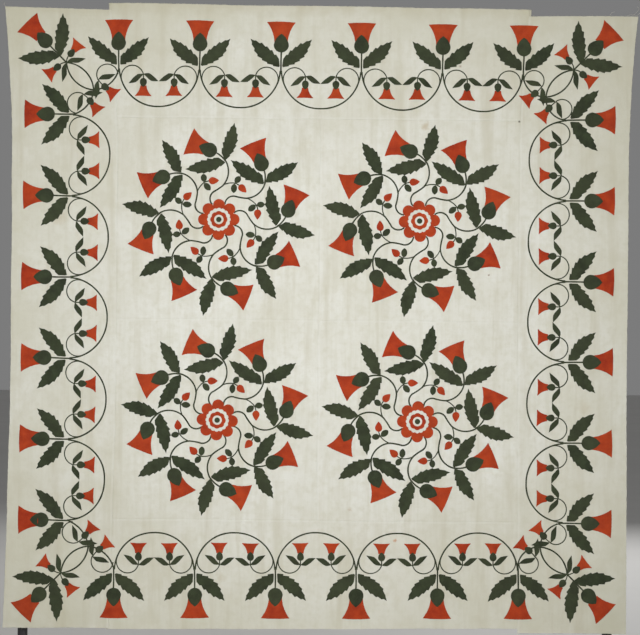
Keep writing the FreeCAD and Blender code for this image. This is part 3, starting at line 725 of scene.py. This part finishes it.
def shell(front, back, columns, rows):
    """Points and closed faces of a slab whose two faces are grids of columns by rows."""
    n = columns * rows
    faces = []
    for i in range(columns - 1):
        for j in range(rows - 1):
            a = i * rows + j
            quad = (a, a + rows, a + rows + 1, a + 1)
            faces.append(quad)
            faces.append(tuple(k + n for k in reversed(quad)))
    rim = [i * rows for i in range(columns)]
    rim += [(columns - 1) * rows + j for j in range(1, rows)]
    rim += [i * rows + rows - 1 for i in range(columns - 2, -1, -1)]
    rim += [j for j in range(rows - 2, 0, -1)]
    for a, b in zip(rim, rim[1:] + rim[:1]):
        faces.append((b, a, a + n, b + n))
    return np.concatenate([front, back]), faces


def ground(name, left, right, foot, top, seams, material):
    """Slab of muslin between two upright edges; foot and top are levels at those edges.

    seams says which of the left, right, foot and top edges are sewn to a neighbour.
    """
    across = spaced(right - left, seams[0], seams[1])
    along = spaced(top[0] - foot[0], seams[2], seams[3])
    share = np.repeat(across / across[-1], len(along))
    rise = np.tile(along / along[-1], len(across))
    u = left + share * (right - left)
    low = foot[0] + share * (foot[1] - foot[0])
    high = top[0] + share * (top[1] - top[0])
    v = low + rise * (high - low)
    edges = (u - left, right - u, v - low, high - v)
    gap = np.min([edge if sewn else edge * 0 + 99 for edge, sewn in zip(edges, seams)], axis=0)
    fray = 0.9 * value_noise(u + v, u - v, 6.0, 13)
    raw = [(edge < 1e-6) & (not sewn) for edge, sewn in zip(edges, seams)]
    u = u + fray * (raw[0] | raw[1])
    v = v + fray * (raw[2] | raw[3])
    sunk = (FRONT - SEAM_VALLEY) * np.exp(-(gap / 1.2) ** 2)
    front = np.column_stack([u, v, FRONT - sunk])
    back = np.column_stack([u, v, np.full(len(u), BACK)])
    points, faces = shell(front, back, len(across), len(along))
    cloth = Cloth()
    cloth.add(points, faces, np.tile(on_allowance(seam_side(u, v)), 2))
    return cloth.build(name, material)


def seam_allowances(material):
    """Raw-edged seam allowances, pressed to one side on the back."""
    cloth = Cloth()
    runs = [((BLOCK, FOOT_RIGHT), (BLOCK, TOP_RIGHT), 1, 0),
            ((-BLOCK, FOOT_LEFT), (-BLOCK, TOP_LEFT), -1, 0),
            ((-BLOCK, BLOCK), (BLOCK, BLOCK), 0, 1), ((-BLOCK, -BLOCK), (BLOCK, -BLOCK), 0, -1),
            ((-BLOCK, 0), (BLOCK, 0), 0, -1), ((CENTRE_SEAM, -BLOCK), (CENTRE_SEAM, BLOCK), 1, 0)]
    for start, end, out_u, out_v in runs:
        count = round(math.dist(start, end) / PITCH)
        line = np.linspace(start, end, count + 1)
        width = ALLOWANCE + 0.7 * value_noise(line[:, 0], line[:, 1], 11.0, 14)
        far = line + np.stack([out_u * width, out_v * width], 1)
        rows = [np.column_stack([edge, np.full(count + 1, w)])
                for edge, w in ((line, BACK), (line, BACK - 0.55), (far, BACK - 0.4), (far, BACK))]
        cloth.add(*closed_tube(rows))
    return cloth.build("seam_allowances", material)


# ---- threads
def add_thread(cloth, points, radius, tint=0.0):
    """Three-sided thread along points."""
    points = np.asarray(points, float)
    ahead = directions(points)
    aside = np.cross(ahead, (0.0, 0.0, 1.0))
    aside /= np.maximum(np.linalg.norm(aside, axis=1, keepdims=True), 1e-6)
    upward = np.cross(aside, ahead)
    rows = [points + radius * (aside * math.cos(t) + upward * math.sin(t))
            for t in (math.pi / 2, math.pi * 7 / 6, math.pi * 11 / 6)]
    cloth.add(*closed_tube(rows), tint)


FRAY_EVERY = 5.0
FRAY_R = 0.16
LOOSE_R = 0.35
LOOSE_THREADS = (((1044, 1070), (1058, 1077), (1080, 1074), (1093, 1086), (1096, 1097)),
                 ((1060, 1070), (1074, 1081), (1085, 1096), (1078, 1104)),
                 ((984, 1071), (990, 1082), (1001, 1085)),
                 ((-1068, 1084), (-1076, 1094), (-1071, 1100)))


def frayed_edges(material):
    """Short threads along the raw outer edges, and a few long loose ones in the top corners."""
    cloth = Cloth()
    draw = np.random.default_rng(17)
    sides = [((-SIDE_LEFT, LEFT_FOOT), (-SIDE_LEFT, LEFT_TOP[0]), (-1, 0)),
             ((SIDE_RIGHT, RIGHT_FOOT), (SIDE_RIGHT, RIGHT_TOP[1]), (1, 0)),
             ((-BLOCK, TOP_LEFT), (BLOCK, TOP_RIGHT), (0, 1)),
             ((-BLOCK, FOOT_LEFT), (BLOCK, FOOT_RIGHT), (0, -1)),
             ((-SIDE_LEFT, LEFT_FOOT), (-BLOCK, LEFT_FOOT), (0, -1)),
             ((BLOCK, RIGHT_FOOT), (SIDE_RIGHT, RIGHT_FOOT), (0, -1)),
             ((-SIDE_LEFT, LEFT_TOP[0]), (-BLOCK, LEFT_TOP[1]), (0, 1)),
             ((BLOCK, RIGHT_TOP[0]), (SIDE_RIGHT, RIGHT_TOP[1]), (0, 1))]
    for start, end, out in sides:
        out = np.array(out, float)
        for share in np.arange(0, 1, FRAY_EVERY / math.dist(start, end)):
            foot = np.array(start) + (np.array(end) - start) * min(1, share + draw.uniform(0, 0.001))
            lean = out + np.array([-out[1], out[0]]) * draw.uniform(-0.8, 0.8)
            size = draw.uniform(1.2, 4.5)
            bend = np.array([-out[1], out[0]]) * draw.uniform(-1.2, 1.2)
            flat = [foot - out * 0.8, foot + lean * size * 0.5, foot + lean * size + bend]
            lift = (0.7, 0.8 + draw.uniform(-0.3, 0.6), 0.8 + draw.uniform(-0.8, 1.2))
            add_thread(cloth, [(*p, w) for p, w in zip(flat, lift)], FRAY_R)
    for path in LOOSE_THREADS:
        path = np.array(path, float)
        fine = np.linspace(0, len(path) - 1, 6 * len(path))
        knots = np.arange(len(path))
        flat = [np.interp(fine, knots, path[:, k]) for k in (0, 1)]
        add_thread(cloth, np.column_stack([*flat, 1.0 + 1.5 * np.sin(fine)]), LOOSE_R, 1.0)
    return cloth.build("frayed_edges", material)


# ---- hanging sleeve
SLEEVE_STATIONS = 247
SLEEVE_RUNS = (12, 6, 23, 9)            # points down the quilt, to the rail, round it and back
STITCH = 3.2
STITCH_R = 0.28
STITCH_EVERY = 6.5
SEWN_ON = 0.3                           # height where the sleeve meets the quilt


def sleeve_loop(radius, high, low, front):
    """Section of the sleeve as (v, w): flat against the quilt, and round the rail behind."""
    ends = []
    for level, sign in ((high, 1), (low, -1)):
        lean = math.atan2(front + RAIL_BACK, level) - sign * math.acos(
            radius / math.hypot(level, front + RAIL_BACK))
        ends.append(lean % (2 * math.pi))
    down, over, round_it, under = SLEEVE_RUNS
    turn = np.linspace(ends[0], ends[1] - 2 * math.pi if ends[1] > ends[0] else ends[1], round_it)
    round_rail = np.column_stack([radius * np.cos(turn), -RAIL_BACK + radius * np.sin(turn)])
    face = np.linspace((low, front), (high, front), down)
    upper = np.linspace((high, front), round_rail[0], over)
    lower = np.linspace(round_rail[-1], (low, front), under)
    return chain(face, upper, round_rail, lower)


def hanging_sleeve(material):
    """Rod pocket: a tube of cloth with hemmed ends, loose where it leaves the rail."""
    outer = sleeve_loop(SLEEVE_R + SLEEVE_T, SLEEVE_TOP, SLEEVE_FOOT, SEWN_ON)
    inner = sleeve_loop(SLEEVE_R, SLEEVE_TOP - 7, SLEEVE_FOOT + 10, -0.4)
    n = len(outer)
    ahead = np.roll(outer, -1, 0) - np.roll(outer, 1, 0)
    normal = np.stack([ahead[:, 1], -ahead[:, 0]], 1) / np.linalg.norm(ahead, axis=1, keepdims=True)
    if (normal * (outer - outer.mean(0))).sum() < 0:
        normal = -normal
    down, over, round_it, under = SLEEVE_RUNS
    bow = [np.sin(math.pi * np.linspace(0, 1, runs))[:-1] for runs in (over, under)]
    loose = np.concatenate([np.zeros(down - 1), bow[0], np.full(round_it - 1, 0.12), bow[1]])
    stations = np.linspace(sleeve_low[0] + 1, sleeve_high[0] - 1, SLEEVE_STATIONS)
    skins = []
    for loop, hem in ((outer, 0.5), (inner, 0.0)):
        rows = []
        for u in stations:
            slack = 0.7 + 0.7 * value_noise(u + 0 * loose, loop[:, 0] * 0.7 + u * 0.2, 38.0, 15)
            slack += 0.35 * value_noise(u + 0 * loose, loop[:, 0] * 0.5, 15.0, 16)
            doubled = hem * ease(abs(u), stations[-1] - 13, stations[-1] - 11)
            swell = np.maximum(slack, 0) * loose * 1.5 + doubled * (loose > 0)
            section = loop + normal * swell[:, None]
            rows.append(np.column_stack([np.full(n, u), RAIL_V + section[:, 0], section[:, 1]]))
        skins.append(np.concatenate(rows))
    total = len(skins[0])
    faces = []
    for i in range(len(stations) - 1):
        for k in range(n):
            a, b = i * n + k, i * n + (k + 1) % n
            faces.append((a, a + n, b + n, b))
            faces.append((total + b, total + b + n, total + a + n, total + a))
    for i, flip in ((0, False), (len(stations) - 1, True)):
        for k in range(n):
            a, b = i * n + k, i * n + (k + 1) % n
            quad = (a, b, total + b, total + a)
            faces.append(tuple(reversed(quad)) if flip else quad)
    cloth = Cloth()
    cloth.add(np.concatenate(skins), faces)
    return cloth.build("sleeve_cloth", material)


def sleeve_stitches(material):
    """Running stitches that hold the sleeve's two long edges to the quilt."""
    loop = sleeve_loop(SLEEVE_R + SLEEVE_T, SLEEVE_TOP, SLEEVE_FOOT, SEWN_ON)
    high = np.array([SLEEVE_TOP, SEWN_ON])
    low = np.array([SLEEVE_FOOT, SEWN_ON])
    down, over, _, under = SLEEVE_RUNS
    lines = []
    for end, toward in ((high, loop[down + over - 2]), (low, loop[1 - under])):
        along = (toward - end) / np.linalg.norm(toward - end)
        outward = np.array([along[1], -along[0]])
        if outward[1] > 0:
            outward = -outward
        lines.append(end + along * 3.5 + outward * 0.15)
    cloth = Cloth()
    for v, w in lines:
        for u in np.arange(sleeve_low[0] + 4, sleeve_high[0] - 4, STITCH_EVERY):
            path = [(u, RAIL_V + v, w + 0.15), (u + STITCH / 2, RAIL_V + v, w - 0.25),
                    (u + STITCH, RAIL_V + v, w + 0.15)]
            add_thread(cloth, path, STITCH_R)
    return cloth.build("sleeve_stitches", material)


# ---- materials
class Shader:
    """A node material under construction."""

    def __init__(self, name, roughness, **fixed):
        self.material = bpy.data.materials.new(name)
        self.material.use_nodes = True
        self.nodes = self.material.node_tree.nodes
        self.links = self.material.node_tree.links
        self.surface = self.nodes["Principled BSDF"]
        self.surface.inputs["Roughness"].default_value = roughness
        for socket, value in fixed.items():
            self.surface.inputs[socket.replace("_", " ")].default_value = value
        self.place = self.node("ShaderNodeTexCoord").outputs["Object"]

    def node(self, kind, inputs=None, **settings):
        made = self.nodes.new(kind)
        for key, value in settings.items():
            setattr(made, key, value)
        for key, value in (inputs or {}).items():
            if isinstance(value, bpy.types.NodeSocket):
                self.links.new(value, made.inputs[key])
            else:
                made.inputs[key].default_value = value
        return made

    def stretched(self, *scale):
        return self.node("ShaderNodeMapping", {"Vector": self.place, "Scale": scale}).outputs["Vector"]

    def noise(self, size, detail=3.0, vector=None):
        """Noise from 0 to 1 with features about size metres wide."""
        made = self.node("ShaderNodeTexNoise", {"Vector": vector or self.place, "Scale": 1 / size,
                                                "Detail": detail, "Roughness": 0.55})
        return made.outputs["Fac"]

    def span(self, value, low, high, to_low=0.0, to_high=1.0):
        """Value taken from low..high to to_low..to_high, and held at the ends."""
        made = self.node("ShaderNodeMapRange", {"Value": value, "From Min": low, "From Max": high,
                                                "To Min": to_low, "To Max": to_high})
        return made.outputs["Result"]

    def math(self, operation, a, b):
        return self.node("ShaderNodeMath", {0: a, 1: b}, operation=operation).outputs["Value"]

    def mix(self, share, a, b):
        return self.node("ShaderNodeMix", {0: share, 6: a, 7: b}, data_type="RGBA").outputs[2]

    def wash(self, colour, mask, low, high, strength, over):
        """Colour taken towards another where the mask rises from low to high."""
        return self.mix(self.span(mask, low, high, 0.0, strength), colour, over)

    def tint(self):
        return self.node("ShaderNodeAttribute", attribute_name="tint").outputs["Fac"]

    def finish(self, colour=None, rough=None, bumps=()):
        """Join colour, roughness and (height, depth in metres) bumps to the surface."""
        if colour is not None:
            self.links.new(colour, self.surface.inputs["Base Color"])
        if rough is not None:
            self.links.new(rough, self.surface.inputs["Roughness"])
        normal = None
        for height, depth in bumps:
            inputs = {"Height": height, "Distance": depth, "Strength": 1.0}
            if normal is not None:
                inputs["Normal"] = normal
            normal = self.node("ShaderNodeBump", inputs).outputs["Normal"]
        if normal is not None:
            self.links.new(normal, self.surface.inputs["Normal"])
        return self.material


THREAD_WAVE = 0.314                     # scale of a wave texture with bands one metre apart is 0.314


def weave(shader, thread):
    """Height of a plain weave whose threads are that far apart, in metres."""
    bands = []
    for direction in ("X", "Z"):
        wave = shader.node("ShaderNodeTexWave", {"Vector": shader.place, "Scale": THREAD_WAVE / thread,
                                                 "Distortion": 0.6, "Detail": 1.0, "Detail Scale": 0.4},
                           bands_direction=direction)
        bands.append(wave.outputs["Fac"])
    return shader.math("MULTIPLY", bands[0], bands[1])


def slubs(shader):
    """Thicker threads that run across and up the cloth."""
    across = shader.noise(0.0016, 2.0, shader.stretched(0.03, 1.0, 1.0))
    upward = shader.noise(0.0016, 2.0, shader.stretched(1.0, 1.0, 0.03))
    return shader.math("ADD", across, upward)


# Stains and spots of the old cloth: (u, v) in millimetres, radius, colour and strength.
RUST = (0.45, 0.20, 0.08, 1)
TEA = (0.45, 0.38, 0.25, 1)
STAINS = (((700, 700), 5.0, (0.05, 0.04, 0.03, 1), 0.85),
          ((371, 683), 17.0, (0.42, 0.33, 0.19, 1), 0.55),
          ((599, 163), 5.0, (0.20, 0.11, 0.05, 1), 0.7), ((491, 890), 6.0, (0.25, 0.17, 0.10, 1), 0.6),
          ((278, -770), 8.0, RUST, 0.7), ((244, -827), 6.0, RUST, 0.6),
          ((120, -663), 9.0, (0.40, 0.30, 0.18, 1), 0.4), ((-330, -905), 22.0, TEA, 0.3),
          ((-905, 350), 26.0, (0.46, 0.39, 0.26, 1), 0.3), ((935, -300), 30.0, TEA, 0.25))
CREAM = (0.620, 0.612, 0.540, 1)
IVORY = (0.690, 0.690, 0.640, 1)
AGED_AND_SHADED = (0.525, 0.510, 0.400, 1)
TAN = (0.430, 0.395, 0.275, 1)
# Deep, plain and faded colour of each dyed cotton.
REDS = ((0.26, 0.020, 0.004, 1), (0.40, 0.040, 0.007, 1), (0.44, 0.075, 0.016, 1))
GREENS = ((0.021, 0.027, 0.013, 1), (0.036, 0.048, 0.022, 1), (0.062, 0.068, 0.034, 1))
UNDYED = ((0.60, 0.57, 0.47, 1), (0.72, 0.69, 0.60, 1))


def muslin(name):
    """Old unbleached cotton: ivory in the middle, yellower and darker to the edges (partly aging,
    partly painted light falloff), spotted, with painted shade streaks down the folds.
    """
    shader = Shader(name, 0.92, Sheen_Weight=0.15, Sheen_Roughness=0.5, Specular_IOR_Level=0.2)
    split = shader.node("ShaderNodeSeparateXYZ", {"Vector": shader.place})
    z = split.outputs["Z"]
    height = shader.math("SUBTRACT", z, MID_Z * MM)
    from_middle = shader.node("ShaderNodeCombineXYZ", {"X": split.outputs["X"], "Z": height})
    outward = shader.node("ShaderNodeVectorMath", {0: from_middle.outputs["Vector"]},
                          operation="LENGTH").outputs["Value"]
    cloud = shader.noise(0.30, 4.0)
    colour = shader.wash(CREAM, cloud, 0.35, 0.65, 1.0, IVORY)
    # Painted light falloff, partly real aging: the cloth goes darker and yellower towards the edges and
    # corners.
    far = shader.math("ADD", shader.span(outward, 0.65, 1.45, 0.0, 0.85),
                      shader.span(shader.noise(0.16, 3.0), 0.3, 0.7, -0.22, 0.22))
    colour = shader.mix(far, colour, AGED_AND_SHADED)
    top = shader.math("ADD", shader.span(z, (MID_Z + 1050) * MM, (MID_Z + 1100) * MM, 0.0, 0.55),
                      shader.span(shader.noise(0.05, 3.0), 0.4, 0.6, -0.12, 0.12))
    colour = shader.mix(shader.math("MAXIMUM", top, 0.0), colour, TAN)
    colour = shader.wash(colour, shader.noise(0.045, 5.0), 0.56, 0.78, 0.32, AGED_AND_SHADED)
    streaks = shader.noise(0.012, 4.0, shader.stretched(1.0, 1.0, 0.06))
    colour = shader.wash(colour, streaks, 0.50, 0.72, 0.28, AGED_AND_SHADED)
    # Painted shade: darker tan streaks that run down the cloth, standing in for the shade in the
    # hanging folds.
    folds = shader.noise(0.05, 4.0, shader.stretched(1.0, 1.0, 0.09))
    colour = shader.wash(colour, folds, 0.52, 0.74, 0.45, TAN)
    threads = slubs(shader)
    colour = shader.wash(colour, threads, 0.75, 1.25, 0.16, AGED_AND_SHADED)
    colour = shader.wash(colour, shader.noise(0.018, 5.0), 0.48, 0.72, 0.40, AGED_AND_SHADED)
    colour = shader.wash(colour, shader.tint(), 0.0, 1.0, 0.18, IVORY)
    flat = shader.node("ShaderNodeCombineXYZ", {"X": split.outputs["X"], "Z": z}).outputs["Vector"]
    for (u, v), radius, stain, strength in STAINS:
        centre = (u * MM, 0, (MID_Z + v) * MM)
        reach = radius * MM
        gap = shader.node("ShaderNodeVectorMath", {0: flat, 1: centre}, operation="DISTANCE")
        ragged = shader.span(shader.noise(reach), 0.3, 0.7, -0.4 * reach, 0.4 * reach)
        away = shader.math("ADD", gap.outputs["Value"], ragged)
        colour = shader.mix(shader.span(away, 0.3 * reach, reach, strength, 0.0), colour, stain)
    rough = shader.span(cloud, 0.3, 0.7, 0.86, 0.96)
    return shader.finish(colour, rough, ((shader.noise(0.009, 5.0), 0.0008), (threads, 0.00012),
                                         (weave(shader, 0.0006), 0.00008)))


def dyed_cotton(name, deep, plain, faded, sheen):
    """Dyed cotton with hand-dyed unevenness, rubbed paler on its thread tops."""
    shader = Shader(name, 0.85, Sheen_Weight=sheen, Sheen_Roughness=0.4, Specular_IOR_Level=0.25)
    colour = shader.wash(deep, shader.noise(0.035, 4.0), 0.35, 0.65, 1.0, plain)
    colour = shader.wash(colour, shader.tint(), -1.0, 1.0, 0.30, faded)
    colour = shader.wash(colour, shader.noise(0.006, 5.0), 0.52, 0.80, 0.35, faded)
    threads = slubs(shader)
    colour = shader.wash(colour, threads, 0.8, 1.25, 0.22, deep)
    rough = shader.span(shader.noise(0.02), 0.3, 0.7, 0.78, 0.92)
    return shader.finish(colour, rough, ((shader.noise(0.007, 4.0), 0.0005), (threads, 0.00010),
                                         (weave(shader, 0.0005), 0.00007)))


def plain_cotton(name, colour_a, colour_b):
    """Undyed twill tape or thread."""
    shader = Shader(name, 0.9, Sheen_Weight=0.1, Specular_IOR_Level=0.2)
    colour = shader.wash(colour_a, shader.noise(0.05, 4.0), 0.35, 0.65, 1.0, colour_b)
    threads = slubs(shader)
    colour = shader.wash(colour, threads, 0.75, 1.25, 0.3, colour_a)
    return shader.finish(colour, None, ((shader.noise(0.008, 4.0), 0.0006), (threads, 0.00015),
                                        (weave(shader, 0.0007), 0.0001)))


def coated_metal(name, base, worn, roughness, grain, depth, metallic=0.0):
    """Powder coat, cast skin or plating: fine grain, with dust and rubbed places."""
    shader = Shader(name, roughness, Metallic=metallic, Specular_IOR_Level=0.45)
    colour = shader.wash(base, shader.noise(0.05, 6.0), 0.55, 0.80, 0.35, worn)
    fine = shader.noise(grain, 2.0)
    colour = shader.wash(colour, fine, 0.55, 0.8, 0.25, worn)
    smear = shader.noise(0.03, 4.0, shader.stretched(1.0, 1.0, 0.3))
    rough = shader.span(smear, 0.3, 0.7, roughness - 0.08, roughness + 0.12)
    return shader.finish(colour, rough, ((fine, depth), (shader.noise(0.02, 3.0), 0.0002)))


# ---- camera, light and floor
VIEW_DISTANCE = 8.0
VIEW_WIDTH = 2.24                       # metres across the frame at the quilt
SENSOR = 36.0
VIEW_AIM = (0.0091, 1.2473)             # x and z that the camera looks at
VIEW_ROLL = math.radians(0.5)


def camera():
    data = bpy.data.cameras.new("view")
    data.sensor_width = SENSOR
    data.lens = SENSOR * VIEW_DISTANCE / VIEW_WIDTH
    data.clip_end = 2 * FLOOR_HALF
    view = bpy.data.objects.new("view", data)
    turn = Matrix.Rotation(math.radians(90), 4, "X") @ Matrix.Rotation(VIEW_ROLL, 4, "Z")
    view.matrix_world = Matrix.Translation((VIEW_AIM[0], -VIEW_DISTANCE, VIEW_AIM[1])) @ turn
    bpy.context.collection.objects.link(view)
    bpy.context.scene.camera = view


MIDDLE = (0, 0, MID_Z * MM)
# Soft lights: name, place, what they face, size and power in watts.
LIGHTS = (("key", (-4.2, -5.2, 2.6), MIDDLE, (2.4, 2.8), 115),
          ("fill", (4.6, -5.4, 2.2), MIDDLE, (2.6, 2.6), 60),
          ("front", (0.0, -2.5, 1.45), (0, 0, 1.30), (0.9, 0.9), 38),
          ("back", (1.5, 5.0, 3.2), MIDDLE, (3.0, 2.4), 130),
          ("top", (0, -0.5, 5.2), MIDDLE, (3.0, 3.0), 35))
WORLD = (0.20, 0.20, 0.20, 1)
FLOOR_HALF = 30.0
PALE = ((0.60, 0.59, 0.57, 1), (0.64, 0.63, 0.61, 1))


def soft_light(name, place, aim, size, power):
    data = bpy.data.lights.new(name, "AREA")
    data.shape = "RECTANGLE"
    data.size, data.size_y = size
    data.energy = power
    light = bpy.data.objects.new(name, data)
    light.location = place
    light.rotation_euler = (Vector(aim) - Vector(place)).to_track_quat("-Z", "Y").to_euler()
    bpy.context.collection.objects.link(light)


def studio():
    """Even light from both sides in front, a little from behind, and a pale floor."""
    for light in LIGHTS:
        soft_light(*light)
    world = bpy.data.worlds.new("studio")
    world.use_nodes = True
    world.node_tree.nodes["Background"].inputs["Color"].default_value = WORLD
    bpy.context.scene.world = world
    mesh = bpy.data.meshes.new("floor")
    corners = [(x * FLOOR_HALF, y * FLOOR_HALF, 0) for x, y in ((-1, -1), (1, -1), (1, 1), (-1, 1))]
    mesh.from_pydata(corners, [], [(0, 1, 2, 3)])
    floor = bpy.data.objects.new("floor", mesh)
    shader = Shader("pale_floor", 0.7)
    pale = shader.wash(PALE[0], shader.noise(0.8, 3.0), 0.3, 0.7, 1.0, PALE[1])
    mesh.materials.append(shader.finish(pale))
    bpy.context.collection.objects.link(floor)
    bpy.context.scene.view_settings.view_transform = "Standard"


# ---- build
camera()
studio()

cream_cloth = muslin("old_muslin")
red_cloth = dyed_cotton("red_cotton", *REDS, 0.06)
green_cloth = dyed_cotton("green_cotton", *GREENS, 0.05)
tape_cloth = plain_cotton("sleeve_cotton", *UNDYED)

CLOTHS = {"flowers": ("turkey_red", red_cloth), "leaves": ("leaf_green", green_cloth),
          "stems": ("leaf_green", green_cloth), "vines": ("leaf_green", green_cloth)}


def on_quilt(piece, slot, *nodes):
    """The piece rides on the quilt and stands for these nodes."""
    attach(piece, "quilt")
    if nodes:
        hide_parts(*nodes)
    return piece


def sewn(group, name, last):
    """Objects of one group, named after the nodes that they stand for."""
    made = []
    for cloth, kind in ((group.flowers, "flowers"), (group.leaves, "leaves"), (group.stems, last)):
        slot, material = CLOTHS[kind]
        piece = cloth.build("sewn_" + name + "_" + kind, material, hang_sewn)
        made.append(on_quilt(piece, slot, name + "_" + kind))
    return made


BLOCKS = {"top_left": (-1, 1), "top_right": (1, 1), "bottom_left": (-1, -1), "bottom_right": (1, -1)}
rings = Group(5)
wreaths = {}
for name, signs in BLOCKS.items():
    middle = [sign * BLOCK / 2 + shift for sign, shift in zip(signs, WREATH_SHIFT)]
    made = wreath(100 + len(wreaths), middle, rings)
    wreaths[name] = sewn(made, name + "_wreath", "stems")
ring_piece = rings.flowers.build("sewn_rosette_rings", cream_cloth, hang_sewn)
on_quilt(ring_piece, "muslin", "rosette_rings")

vines = {row[0]: sewn(border(200 + i, row, BORDER_MOTIFS[i - 1]), "vine_" + row[0], "vines")
         for i, row in enumerate(BORDER_MOTIFS)}

sleeve = on_quilt(hanging_sleeve(tape_cloth), "sleeve_cloth", "hanging_sleeve")
stitches = on_quilt(sleeve_stitches(tape_cloth), "sleeve_cloth")

for name, (column, row) in BLOCKS.items():
    left, right = sorted((CENTRE_SEAM, column * BLOCK))
    foot, top = sorted((0.0, row * BLOCK))
    piece = ground("muslin_" + name + "_block", left, right, (foot, foot), (top, top), (1, 1, 1, 1),
                   cream_cloth)
    on_quilt(piece, "muslin", name + "_block")

allowances = on_quilt(seam_allowances(cream_cloth), "muslin")
fray = on_quilt(frayed_edges(cream_cloth), "muslin")
# Each border's left and right edges, its foot and top at those edges, and which edges are sewn.
BORDERS = {"left": (-SIDE_LEFT, -BLOCK, (LEFT_FOOT, LEFT_FOOT), LEFT_TOP, (0, 1, 0, 0)),
           "right": (BLOCK, SIDE_RIGHT, (RIGHT_FOOT, RIGHT_FOOT), RIGHT_TOP, (1, 0, 0, 0)),
           "top": (-BLOCK, BLOCK, (BLOCK, BLOCK), (TOP_LEFT, TOP_RIGHT), (1, 1, 1, 0)),
           "bottom": (-BLOCK, BLOCK, (FOOT_LEFT, FOOT_RIGHT), (-BLOCK, -BLOCK), (1, 1, 0, 1))}
for name, (left, right, foot, top, seams) in BORDERS.items():
    piece = ground("muslin_border_" + name, left, right, foot, top, seams, cream_cloth)
    on_quilt(piece, "muslin", "border_" + name)

# Finish of each slot of the rack (name, colour, worn colour, roughness, grain size and depth in metres,
# and 1 for bare metal), and the nodes that have it.
RACK = {
    "black_steel": (("black_powder_coat", (0.016, 0.016, 0.017, 1), (0.045, 0.044, 0.042, 1), 0.46,
                     0.0009, 0.00006),
                    ("rail_left", "rail_right", "mast_outer_left", "mast_outer_right", "foot_left",
                     "foot_right", "spreader_tube")),
    "black_cast": (("black_casting", (0.020, 0.020, 0.021, 1), (0.055, 0.054, 0.050, 1), 0.58,
                    0.0014, 0.00012),
                   ("cradle_left", "cradle_right", "keeper_left", "keeper_right", "collar_left",
                    "collar_right", "spreader_clamps")),
    "black_plastic": (("black_plastic", (0.022, 0.022, 0.023, 1), (0.060, 0.058, 0.055, 1), 0.40,
                       0.0007, 0.00005),
                      ("rail_end_caps", "lock_knob_left", "lock_knob_right", "stop_rings")),
    "foot_rubber": (("rubber", (0.028, 0.027, 0.026, 1), (0.090, 0.085, 0.078, 1), 0.80,
                     0.0012, 0.0001),
                    ("foot_caps_left", "foot_caps_right")),
    "bright_steel": (("zinc_plate", (0.52, 0.53, 0.54, 1), (0.36, 0.36, 0.35, 1), 0.34,
                      0.0008, 0.00003, 1.0),
                     ("mast_inner_left", "mast_inner_right", "rail_joiner", "pivot_bolts",
                      "spreader_bolts"))}
for finish, nodes in RACK.values():
    material = coated_metal(*finish)
    for node in nodes:
        for place in frame["nodes"][node].material_slots:
            place.material = material

bpy.context.view_layer.update()
